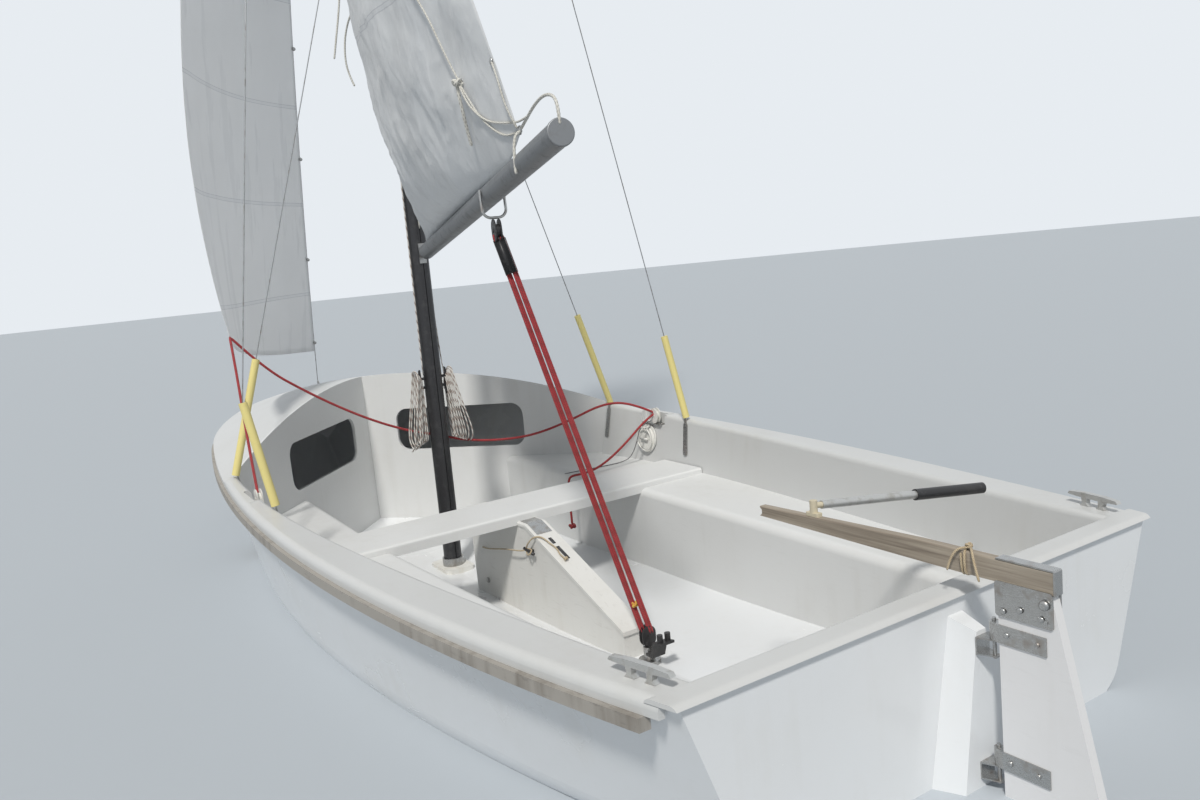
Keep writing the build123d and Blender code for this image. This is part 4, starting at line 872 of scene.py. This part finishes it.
leech_heights = np.array([JIB_LEECH[0], 2.250, 3.700, JIB_LEECH[1]])
leech_x = np.polyfit(leech_heights, np.array([0.530, 0.730, 0.640, 0.425]), 3)
leech_y = np.polyfit(leech_heights, np.array([0.750, 0.700, 0.372, 0.020]), 3)
points, uvs = [], []
for row in range(JIB_ROWS):
    up = row / (JIB_ROWS - 1)
    leech_z = JIB_LEECH[0] + (JIB_LEECH[1] - JIB_LEECH[0]) * up
    luff_z = JIB_LUFF[0] + (JIB_LUFF[1] - JIB_LUFF[0]) * up
    leech = Vector((np.polyval(leech_x, leech_z), np.polyval(leech_y, leech_z), leech_z))
    luff = forestay_point(luff_z) + Vector((-0.006, 0.002, 0))
    chord = leech - luff
    outward = Vector((chord.y, -chord.x, 0)).normalized()
    if outward.y < 0:
        outward = -outward
    for column in range(JIB_COLUMNS):
        across = column / (JIB_COLUMNS - 1)
        depth = JIB_DEPTH * (1 - 0.3 * up) * chord.length
        belly = depth * 3.7 * across * (1 - across) * (1.2 - 0.4 * across)
        scallop = -0.03 * math.sin(math.pi * across) * max(0.0, 1 - up * 12)
        place = luff + chord * across + outward * belly + Vector((0, 0, scallop))
        ripple = noise.noise(place * 2.3) * 0.008 + noise.noise(place * 7.0) * 0.003
        held = min(1.0, across * 8) * min(1.0, (1 - across) * 12 + 0.2)
        points.append(place + outward * ripple * held)
        uvs.append((across * chord.length, luff_z + (leech_z - luff_z) * across))
jib_piece = grid_mesh("jib_cloth", points, JIB_COLUMNS, JIB_ROWS, uvs, JIB_THICK)
jib_piece.data.materials.append(jib_cloth)
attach(jib_piece, "hull")
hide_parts("jib")

# Mainsheet tackle
# Four parts of red plaited sheet run between the boom's block and the cockpit's block.
# A cam by the lower block is there to hold the hauling part.
braid_cover, entry, leave = node_group(
    "braid_cover",
    {
        "Colour": (0.5, 0.05, 0.05, 1),
        "Fleck Colour": (0.1, 0.02, 0.02, 1),
        "Fleck Amount": 0.2,
        "Plait": 0.007,
    },
)
times, plus, minus = sums_of(braid_cover)
rope_place = add_node(braid_cover, "ShaderNodeTexCoord").outputs["UV"]
rope_parts = add_node(braid_cover, "ShaderNodeSeparateXYZ", inputs={0: rope_place})
plait_turn = maths(braid_cover, "DIVIDE", rope_parts.outputs[1], entry.outputs["Plait"])
round_turn = times(rope_parts.outputs[0], 4)
strand_waves = [
    maths(braid_cover, "SINE", times(maths(braid_cover, kind, round_turn, plait_turn), math.tau))
    for kind in ("ADD", "SUBTRACT")
]
plait_height = maths(braid_cover, "MAXIMUM", *strand_waves)
fleck_wave = maths(
    braid_cover,
    "SINE",
    times(plus(rope_parts.outputs[0], times(plait_turn, 0.21)), math.tau),
)
fleck_mask = times(ramp_of(braid_cover, fleck_wave, 0.35, 0.6), entry.outputs["Fleck Amount"])
# Painted shade: the low parts of the plait, between the strands, are darkened almost to black.
rope_colour = blend_colours(
    braid_cover,
    times(ramp_of(braid_cover, plait_height, 0.5, -0.6), 0.45),
    blend_colours(braid_cover, fleck_mask, entry.outputs["Colour"], entry.outputs["Fleck Colour"]),
    (0.05, 0.04, 0.035, 1),
)
braid_cover.links.new(rope_colour, leave.inputs["Colour"])
braid_cover.links.new(minus(0.85, times(plait_height, 0.12)), leave.inputs["Roughness"])
braid_cover.links.new(plait_height, leave.inputs["Height"])


def rope_material(name, colour, fleck, amount, plait):
    """Plaited or laid rope in two colours."""
    return material_of(
        name,
        braid_cover,
        {"Colour": colour, "Fleck Colour": fleck, "Fleck Amount": amount, "Plait": plait},
        bump=0.0006,
        strength=0.6,
        Sheen_Weight=0.2,
    )


def route_line(points, fineness=8):
    """Line of a rope's route, read from its smooth spline."""
    curve = bpy.data.curves.new("route", "CURVE")
    curve.dimensions = "3D"
    spline = curve.splines.new("NURBS")
    spline.points.add(len(points) - 1)
    for point, place in zip(spline.points, points):
        point.co = (*place, 1.0)
    spline.order_u = 3
    spline.use_endpoint_u = True
    spline.resolution_u = fineness
    carrier = bpy.data.objects.new("route", curve)
    bpy.context.scene.collection.objects.link(carrier)
    bpy.context.view_layer.update()
    graph = bpy.context.evaluated_depsgraph_get()
    line = bpy.data.meshes.new_from_object(carrier.evaluated_get(graph))
    path = [vert.co.copy() for vert in line.vertices]
    bpy.data.objects.remove(carrier)
    return path


def spaced(path, step):
    """The same line with its places at even steps."""
    lengths = [0.0]
    for before, after in zip(path, path[1:]):
        lengths.append(lengths[-1] + (after - before).length)
    count = max(2, round(lengths[-1] / step))
    places, at = [], 0
    for i in range(count + 1):
        wanted = lengths[-1] * i / count
        while at < len(path) - 2 and lengths[at + 1] < wanted:
            at += 1
        span = max(lengths[at + 1] - lengths[at], 1e-9)
        places.append(path[at].lerp(path[at + 1], (wanted - lengths[at]) / span))
    return places, lengths[-1]


def add_rope(mesh, layer, path, radius, sides, lay, groove):
    """One rope skin round a line, with rounded ends and strands laid round it."""
    along = [(b - a).normalized() for a, b in zip(path, path[1:])]
    along.append(along[-1])
    across = along[0].orthogonal().normalized()
    rings, run = [], 0.0
    for i, place in enumerate(path):
        if i:
            run += (place - path[i - 1]).length
        across = (across - along[i] * across.dot(along[i])).normalized()
        other = along[i].cross(across)
        from_end = min(i, len(path) - 1 - i)
        size = (0.55, 0.9, 1.0)[min(from_end, 2)]
        ring = []
        for side in range(sides):
            turn = math.tau * side / sides
            dent = 1.0
            if groove:
                dent = 1 - groove * (1 - abs(math.sin(1.5 * (turn + math.tau * run / lay))))
            place_round = across * math.cos(turn) + other * math.sin(turn)
            ring.append(mesh.verts.new(place + place_round * radius * size * dent))
        rings.append((ring, run))
    for (first, low), (second, high) in zip(rings, rings[1:]):
        for side in range(sides):
            after = (side + 1) % sides
            face = mesh.faces.new((first[side], first[after], second[after], second[side]))
            face.smooth = True
            places = (
                (side / sides, low),
                ((side + 1) / sides, low),
                ((side + 1) / sides, high),
                (side / sides, high),
            )
            for loop, uv in zip(face.loops, places):
                loop[layer].uv = uv
    mesh.faces.new(list(reversed(rings[0][0])))
    mesh.faces.new(rings[-1][0])


def piece_from(name, mesh, material, body):
    """Finished piece of one material on a body, from the mesh being built."""
    data = bpy.data.meshes.new(name)
    mesh.to_mesh(data)
    mesh.free()
    data.materials.append(material)
    piece = bpy.data.objects.new(name, data)
    bpy.context.scene.collection.objects.link(piece)
    if body:
        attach(piece, body)
    return piece


def make_rope(
    name, routes, diameter, material, body=None, step=0.006, sides=10, lay=0.0, groove=0.0
):
    """Piece of one or more ropes of one kind, with the line of the first."""
    mesh = bmesh.new()
    layer = mesh.loops.layers.uv.new("UVMap")
    first_path = None
    for route in routes:
        path, _ = spaced(route_line(route), step)
        add_rope(mesh, layer, path, diameter / 2, sides, lay, groove)
        if first_path is None:
            first_path = path
    return piece_from(name, mesh, material, body), first_path


red_sheet = rope_material("red_sheet", (0.36, 0.026, 0.032, 1), (0.20, 0.02, 0.02, 1), 0.4, 0.009)
LOWER_SHEAVE = Vector((-1.052, 0.0, -0.022))
UPPER_SHEAVE = Vector((-0.897, 0.277, 1.210))
TACKLE_ACROSS = Vector((-0.54, -0.84, 0.0))
# Each part's place across the lower block and across the upper one, and how far ahead.
TACKLE_PARTS = (
    (-0.0165, -0.012, 0.0),
    (-0.0055, -0.004, 0.005),
    (0.0055, 0.004, -0.005),
    (0.0165, 0.012, 0.0),
)
tackle_routes = []
for low_gap, high_gap, fore in TACKLE_PARTS:
    low = LOWER_SHEAVE + TACKLE_ACROSS * low_gap + Vector((fore, 0, 0))
    high = UPPER_SHEAVE + TACKLE_ACROSS * high_gap + Vector((fore, 0, 0))
    tackle_routes.append([low, low.lerp(high, 0.3), low.lerp(high, 0.7), high])
tackle_parts, _ = make_rope("mainsheet_parts", tackle_routes, 0.0105, red_sheet, step=0.010)
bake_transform(tackle_parts)


def declare_cord(path):
    """Space a cord's line at even steps, and keep nothing of it."""
    spaced(path, 0.01)[1]


def make_knot(name, place, diameter, material, body):
    """Overhand stopper knot drawn tight."""
    points = []
    for i in range(48):
        t = math.tau * i / 47
        turn = Vector(
            (
                math.sin(t) + 2 * math.sin(2 * t),
                math.cos(t) - 2 * math.cos(2 * t),
                -1.3 * math.sin(3 * t),
            )
        )
        points.append(Vector(place) + turn * diameter * 0.42)
    mesh = bmesh.new()
    layer = mesh.loops.layers.uv.new("UVMap")
    add_rope(mesh, layer, points, diameter / 2, 10, 0.0, 0.0)
    return piece_from(name, mesh, material, body)


# Jib sheets
# One red sheet is hauled down from the clew to the port block. The other hangs slack
# round the fore side of the mast to the starboard block, and its tail goes below.
SHEET_THICK = 0.010
make_rope(
    "jib_sheet_hauled",
    [[(0.530, 0.750, 0.952), (0.40, 0.772, 0.82), (0.14, 0.822, 0.552), (0.006, 0.843, 0.418)]],
    SHEET_THICK,
    red_sheet,
    "hull",
)
lazy_route = [
    (0.528, 0.748, 0.948), (0.515, 0.640, 0.810), (0.503, 0.494, 0.697), (0.492, 0.370, 0.612),
    (0.480, 0.240, 0.535), (0.466, 0.110, 0.474), (0.458, 0.030, 0.448), (0.450, -0.045, 0.424),
    (0.400, -0.100, 0.403), (0.330, -0.210, 0.385), (0.255, -0.360, 0.386),
    (0.180, -0.505, 0.430), (0.108, -0.646, 0.492), (0.055, -0.755, 0.482),
    (0.006, -0.838, 0.428),
]
lazy_sheet, lazy_path = make_rope("jib_sheet_lazy", [lazy_route], SHEET_THICK, red_sheet, "hull")
declare_cord(lazy_path)
tail_route = [
    (0.004, -0.838, 0.424), (0.012, -0.790, 0.400), (0.028, -0.700, 0.322),
    (0.045, -0.610, 0.258), (0.058, -0.540, 0.226), (0.068, -0.480, 0.2185),
    (0.074, -0.436, 0.2195), (0.078, -0.421, 0.206), (0.082, -0.418, 0.150),
    (0.084, -0.420, 0.060), (0.085, -0.420, 0.010),
]
tail_sheet, tail_path = make_rope("jib_sheet_tail", [tail_route], SHEET_THICK, red_sheet, "hull")
tail_knot = make_knot("sheet_stopper", (0.085, -0.420, 0.002), SHEET_THICK, red_sheet, "hull")
declare_cord(tail_path)

# Halyards
# Two flecked white lines come down the mast's sides to its horn cleats, and the spare
# line hangs on the cleats in long loose turns.
HALYARD_THICK = 0.0055
halyard_line = rope_material(
    "halyard_line", (0.72, 0.70, 0.66, 1), (0.22, 0.13, 0.09, 1), 0.75, 0.008
)


def mast_axis(z):
    """Fore and aft place of the mast's middle at a height."""
    return MAST_FOOT.x - (z - MAST_FOOT.z) * math.tan(MAST_RAKE)


# Side, height of the upper end, and how far ahead of the mast's middle and out it runs.
HALYARDS = {"port": (1, 6.03, -0.010, 0.044), "starboard": (-1, 5.50, 0.020, 0.039)}
COIL_TURNS = 6
COIL_FALL = 0.262
# One turn of a coil: share of its half width, share of its fall, and half widths down.
TURN_SHAPE = (
    (0.0, 0.0, 0.0), (0.75, 0.0, 0.3), (1.0, 0.0, 1.15), (1.0, 0.5, 0.0), (1.0, 1.0, -1.15),
    (0.75, 1.0, -0.3), (0.0, 1.0, 0.0), (-0.75, 1.0, -0.3), (-1.0, 1.0, -1.15),
    (-1.0, 0.5, 0.0), (-1.0, 0.0, 1.15), (-0.75, 0.0, 0.3),
)
for word, (hand, top, fore, wide) in HALYARDS.items():
    route = [
        (mast_axis(top) + fore, hand * 0.036, top),
        (mast_axis(4.0) + fore, hand * wide, 4.0),
        (mast_axis(2.0) + fore, hand * wide, 2.0),
        (mast_axis(0.95) + fore, hand * wide, 0.95),
        (mast_axis(0.72) - 0.012, hand * 0.046, 0.705),
    ]
    make_rope("halyard_" + word, [route], HALYARD_THICK, halyard_line, "hull", step=0.05, sides=8)
    middle = mast_axis(0.67)
    coil_route = [
        (middle + 0.004, hand * 0.047, 0.632),
        (middle + 0.006, hand * 0.050, 0.655),
        (middle + 0.004, hand * 0.052, 0.678),
    ]
    for k in range(1, COIL_TURNS * 12 + 7):
        side_share, fall, extra = TURN_SHAPE[k % 12]
        grown = 0.0062 * k / 12
        wobble = 0.008 * math.sin(k * 0.9 + hand) * (k / (COIL_TURNS * 12)) * fall
        half = (0.012 + 0.6 * grown) * (1 - fall) + (0.021 + 0.8 * grown) * fall
        coil_route.append(
            (
                middle - half * side_share + wobble,
                hand * (0.053 + 0.0042 * k / 12 + (0.004 + 1.1 * grown) * fall),
                0.690 + grown - fall * (COIL_FALL + 1.9 * grown) - extra * half,
            )
        )
    coil, coil_path = make_rope(
        "halyard_coil_" + word, [coil_route], HALYARD_THICK, halyard_line, "hull", sides=8
    )
    declare_cord(coil_path)

# Outhaul
# A thick laid rope ties the mainsail's clew to the plugged end of the boom, with its
# whipped end hanging free.
laid_white = rope_material("laid_white", (0.68, 0.67, 0.62, 1), (0.45, 0.42, 0.36, 1), 0.25, 0.02)
outhaul_route = [
    (-1.232, 0.352, 1.448), (-1.290, 0.366, 1.462), (-1.370, 0.386, 1.482),
    (-1.450, 0.404, 1.492), (-1.520, 0.420, 1.480), (-1.550, 0.428, 1.450),
    (-1.548, 0.427, 1.412),
]
clew_tail = [
    (-1.236, 0.350, 1.446), (-1.244, 0.372, 1.440), (-1.250, 0.384, 1.412),
    (-1.252, 0.388, 1.372), (-1.254, 0.389, 1.340),
]
make_rope(
    "outhaul",
    [outhaul_route, clew_tail],
    0.008,
    laid_white,
    "boom",
    step=0.002,
    sides=12,
    lay=0.028,
    groove=0.28,
)

# Lazy lines on the mainsail
# A laid line runs from the mast over the sail's port face to a knot near the leech, and
# goes on to the clew. Two reef pendants hang from the luff.
lift_line = [
    (0.335, 0.040, 2.620), (-0.250, 0.300, 2.330), (-0.640, 0.432, 2.060),
    (-0.872, 0.420, 1.852), (-0.948, 0.392, 1.672), (-0.973, 0.380, 1.618),
]
clew_line = [
    (-0.973, 0.382, 1.616), (-1.010, 0.372, 1.556), (-1.045, 0.362, 1.506),
    (-1.104, 0.352, 1.462), (-1.170, 0.352, 1.441), (-1.226, 0.354, 1.446),
]
second_line = [
    (-0.976, 0.384, 1.612), (-1.000, 0.380, 1.560), (-1.034, 0.368, 1.520),
    (-1.080, 0.358, 1.492), (-1.150, 0.358, 1.478), (-1.222, 0.360, 1.468),
    (-1.268, 0.368, 1.464), (-1.312, 0.372, 1.468),
]
make_rope(
    "sail_lift_line",
    [lift_line],
    0.006,
    laid_white,
    "boom",
    step=0.003,
    sides=10,
    lay=0.022,
    groove=0.25,
)
line_knot = make_knot("line_knot", (-0.974, 0.384, 1.612), 0.010, laid_white, "boom")
hanging_routes = {
    "clew_line": (0.006, list(reversed(clew_line))),
    "second_line": (0.006, second_line),
    "knot_tail": (
        0.010,
        [
            (-0.974, 0.386, 1.608), (-0.972, 0.384, 1.580), (-0.966, 0.374, 1.540),
            (-0.954, 0.364, 1.505), (-0.943, 0.352, 1.470), (-0.938, 0.346, 1.452),
        ],
    ),
    "leech_line": (
        0.006,
        [
            (-1.232, 0.360, 1.452), (-1.228, 0.372, 1.478), (-1.218, 0.382, 1.520),
            (-1.206, 0.386, 1.575), (-1.186, 0.384, 1.612), (-1.166, 0.377, 1.626),
        ],
    ),
    "reef_pendant_low": (
        0.008,
        [
            (0.262, 0.008, 2.170), (0.262, 0.080, 2.178), (0.345, 0.120, 2.180),
            (0.420, 0.140, 2.150), (0.462, 0.158, 2.080), (0.470, 0.168, 2.000),
            (0.462, 0.166, 1.930), (0.446, 0.152, 1.878),
        ],
    ),
    "reef_pendant_high": (
        0.008,
        [
            (0.254, 0.008, 2.480), (0.256, 0.078, 2.488), (0.350, 0.112, 2.492),
            (0.440, 0.128, 2.440), (0.470, 0.140, 2.340), (0.474, 0.160, 2.200),
            (0.482, 0.186, 2.080), (0.490, 0.205, 1.990),
        ],
    ),
}
for name, (thick, route) in hanging_routes.items():
    line, path = make_rope(
        name, [route], thick, laid_white, "boom", step=0.002, sides=12, lay=thick * 3.4, groove=0.28
    )
    declare_cord(path)

# Rudder fastenings
# Stainless bolts go through the cheeks, the straps and the blade, and show a round
# head on both faces.


def make_studs(name, studs, material, body):
    """Piece of domed heads, each at a place, facing a way, with its radius and height."""
    mesh = bmesh.new()
    sides = 14
    for place, facing, radius, height in studs:
        place, facing = Vector(place), Vector(facing).normalized()
        across = facing.orthogonal().normalized()
        other = facing.cross(across)
        rings = []
        for wide, high in ((1.0, -0.15), (1.0, 0.35), (0.86, 0.75), (0.5, 0.97)):
            ring = []
            for side in range(sides):
                turn = math.tau * side / sides
                spread = (across * math.cos(turn) + other * math.sin(turn)) * radius * wide
                ring.append(mesh.verts.new(place + spread + facing * height * high))
            rings.append(ring)
        for low, high in zip(rings, rings[1:]):
            for side in range(sides):
                after = (side + 1) % sides
                mesh.faces.new((low[side], low[after], high[after], high[side])).smooth = True
        mesh.faces.new(rings[-1])
        mesh.faces.new(list(reversed(rings[0])))
    return piece_from(name, mesh, material, body)


rudder_studs = []
for x, z, face, radius in (
    (-2.302, 0.386, 0.0160, 0.006),
    (-2.338, 0.397, 0.0160, 0.006),
    (-2.381, 0.391, 0.0160, 0.006),
    (-2.388, 0.420, 0.0160, 0.010),
    (-2.306, 0.338, 0.0140, 0.006),
    (-2.370, 0.338, 0.0140, 0.005),
    (-2.304, 0.075, 0.0140, 0.006),
    (-2.364, 0.074, 0.0140, 0.005),
):
    for hand in (1, -1):
        rudder_studs.append(((x, hand * face, z), (0, hand, 0), radius, radius * 0.6))
make_studs("rudder_bolts", rudder_studs, stainless, "rudder")

# Tiller lashing
# A short tan cord is wound twice round the tiller where it crosses the stern, and its
# knotted ends hang down one side.
tan_cord = rope_material("tan_cord", (0.55, 0.45, 0.30, 1), (0.40, 0.30, 0.18, 1), 0.4, 0.007)
ROUND_TILLER = (
    (0.0155, 0.482),
    (0.0155, 0.442),
    (0.0, 0.4355),
    (-0.0155, 0.442),
    (-0.0155, 0.482),
    (0.0, 0.4905),
)
lashing_route = []
for turn in range(2):
    aft = -2.212 - 0.0068 * turn
    for y, z in ROUND_TILLER:
        lashing_route.append((aft - 0.0011 * len(lashing_route) / 6, y, z))
tail_one = [
    (-2.222, 0.004, 0.492),
    (-2.210, 0.016, 0.494),
    (-2.196, 0.026, 0.474),
    (-2.190, 0.030, 0.446),
]
tail_two = [
    (-2.222, -0.002, 0.492),
    (-2.236, 0.014, 0.496),
    (-2.250, 0.026, 0.470),
    (-2.262, 0.029, 0.438),
]
lashing_ropes = [lashing_route, tail_one, tail_two]
make_rope("tiller_lashing", lashing_ropes, 0.005, tan_cord, "rudder", step=0.003, sides=8)
make_knot("lashing_knot", (-2.222, 0.001, 0.496), 0.005, tan_cord, "rudder")

# Tackle fittings
# The upper block is a long two-sheave one with black cheeks, and a yellow stopper knot
# ties the tackle's end above the lower block.
tackle_way = (UPPER_SHEAVE - LOWER_SHEAVE).normalized()
tackle_wide = (TACKLE_ACROSS - tackle_way * TACKLE_ACROSS.dot(tackle_way)).normalized()
tackle_deep = tackle_way.cross(tackle_wide)


def make_blocks(name, blocks, material, body, soften=0.0015):
    """Piece of small softened blocks, each with its middle, three axes and half sizes."""
    mesh = bmesh.new()
    for middle, axes, half in blocks:
        made = bmesh.ops.create_cube(mesh, size=2.0)["verts"]
        for vert in made:
            local = vert.co.copy()
            vert.co = Vector(middle) + sum(
                (Vector(axes[i]) * local[i] * half[i] for i in range(3)), Vector()
            )
        edges = list({edge for vert in made for edge in vert.link_edges})
        bmesh.ops.bevel(mesh, geom=edges, offset=soften, segments=2, affect="EDGES")
    for face in mesh.faces:
        face.smooth = True
    return piece_from(name, mesh, material, body)


cheek_blocks = [
    (
        UPPER_SHEAVE - tackle_way * 0.066 + tackle_deep * gap,
        (tackle_way, tackle_wide, tackle_deep),
        (0.050, 0.017, 0.0025),
    )
    for gap in (-0.0125, 0.0125)
]
make_blocks("upper_block_cheeks", cheek_blocks, black_plastic, "boom", 0.002)
yellow_cord = rope_material("yellow_cord", (0.75, 0.52, 0.06, 1), (0.5, 0.05, 0.04, 1), 0.4, 0.007)
make_knot(
    "tackle_knot", LOWER_SHEAVE + tackle_way * 0.100 - tackle_wide * 0.006, 0.008, yellow_cord, "hull"
)

# Case fittings
# The lid has two rubber-lipped slots and a screwed plate. A small black cleat on the
# case's port side holds the board's tan line.
lid_point = Vector((-0.400, 0.0, 0.2001))
lid_slope = Vector((-1.0, 0.0, -0.394)).normalized()
lid_up = Vector((-0.394, 0.0, 1.0)).normalized()
side_axis = Vector((0, 1, 0))
lid_axes = (lid_slope, side_axis, lid_up)
lips = []
for start, run in ((0.095, 0.034), (0.150, 0.075)):
    lip_middle = lid_point + lid_slope * (start + run / 2) + lid_up * 0.0006
    lips.append((lip_middle, lid_axes, (run / 2, 0.0055, 0.0011)))
make_blocks("lid_slots", lips, black_plastic, "hull", 0.0005)
plate_screws = [
    (lid_point + lid_slope * 0.050 + side_axis * y + lid_up * 0.0022, lid_up, 0.0042, 0.0016)
    for y in (0.022, -0.022)
]
make_studs("plate_screws", plate_screws, stainless, "hull")
upright = (Vector((1, 0, 0)), side_axis, Vector((0, 0, 1)))
tilted = (Vector((1, 0, 0.12)), side_axis, Vector((-0.12, 0, 1)))
cleat_blocks = [
    ((-0.425, 0.0440, 0.118), upright, (0.012, 0.006, 0.006)),
    ((-0.425, 0.0535, 0.118), tilted, (0.036, 0.005, 0.005)),
]
make_blocks("board_cleat", cleat_blocks, black_plastic, "hull", 0.002)
board_route = [
    (0.060, 0.020, 0.030), (-0.060, 0.060, 0.052), (-0.250, 0.062, 0.092),
    (-0.390, 0.062, 0.112), (-0.412, 0.049, 0.124), (-0.440, 0.049, 0.126),
    (-0.452, 0.060, 0.120), (-0.440, 0.066, 0.108), (-0.418, 0.058, 0.106),
    (-0.400, 0.052, 0.122), (-0.430, 0.056, 0.150), (-0.462, 0.049, 0.176),
    (-0.486, 0.030, 0.178), (-0.520, 0.020, 0.160), (-0.560, 0.012, 0.145),
    (-0.590, 0.022, 0.133), (-0.618, 0.016, 0.122),
]
make_rope("board_line", [board_route], 0.0055, tan_cord, "hull", step=0.004, sides=8)
make_knot("board_line_knot", (-0.618, 0.016, 0.124), 0.0055, tan_cord, "hull")

# Luff rope
# The mainsail's luff is sewn round a white rope that slides up the groove in the mast's
# after side.
luff_track = [(mast_axis(z) - 0.040, 0.0, z) for z in (1.30, 2.40, 3.60, 4.80, 5.95)]
make_rope("luff_rope", [luff_track], 0.007, laid_white, "hull", step=0.02, sides=8)

# Sail fittings
# Stainless hanks clip the jib's luff to the forestay, and pressed eyes take the lines
# that are tied to the mainsail.
hank_studs = []
for z in (0.80, 1.25, 1.75, 2.25, 2.75, 3.25, 3.75, 4.25, 4.75, 5.08):
    place = forestay_point(z)
    hank_studs.append((place + Vector((0.006, 0, 0)), (1, 0.2, 0.3), 0.007, 0.008))
    hank_studs.append((place + Vector((-0.010, 0, 0)), (-1, -0.2, -0.3), 0.009, 0.010))
make_studs("jib_hanks", hank_studs, stainless, "hull")
eye_studs = [
    ((-1.232, 0.352, 1.448), sail_out, 0.012, 0.006),
    ((-1.166, 0.376, 1.626), sail_out, 0.009, 0.005),
    ((-0.973, 0.368, 1.616), sail_out, 0.009, 0.005),
]
make_studs("sail_eyes", eye_studs, stainless, "boom")

# Hatch and deck fittings
# The screw-in hatch has a raised rim and a finger grip. A shock cord keeps the sheet
# block upright, and the block plates are screwed down.
hatch_middle = Vector((0.055, -0.809, 0.312))
rim = []
for i in range(25):
    turn = math.tau * i / 24
    rim.append(hatch_middle + Vector((0.052 * math.cos(turn), 0.002, 0.052 * math.sin(turn))))
make_rope("hatch_rim", [rim], 0.006, white_moulding, "hull", step=0.008, sides=8)
grip = [((0.055, -0.8065, 0.312), upright, (0.026, 0.004, 0.005))]
make_blocks("hatch_grip", grip, white_moulding, "hull", 0.0018)
plate_studs = []
for hand in (1, -1):
    for x, y in ((-0.036, 0.843), (0.084, 0.843), (0.052, 0.836)):
        plate_studs.append(((x, hand * y, 0.3817), (0, 0, 1), 0.0045, 0.002))
make_studs("plate_screws_deck", plate_studs, stainless, "hull")
shock_cord = rope_material("shock_cord", (0.10, 0.10, 0.11, 1), (0.5, 0.5, 0.5, 1), 0.3, 0.006)
elastic = [
    (0.030, -0.838, 0.392), (0.066, -0.803, 0.372), (0.100, -0.800, 0.300),
    (0.128, -0.790, 0.240), (0.125, -0.750, 0.2145), (0.130, -0.640, 0.2135),
    (0.150, -0.520, 0.2135), (0.158, -0.450, 0.2135),
]
make_rope("shock_cord", [elastic], 0.004, shock_cord, "hull", step=0.006, sides=8)
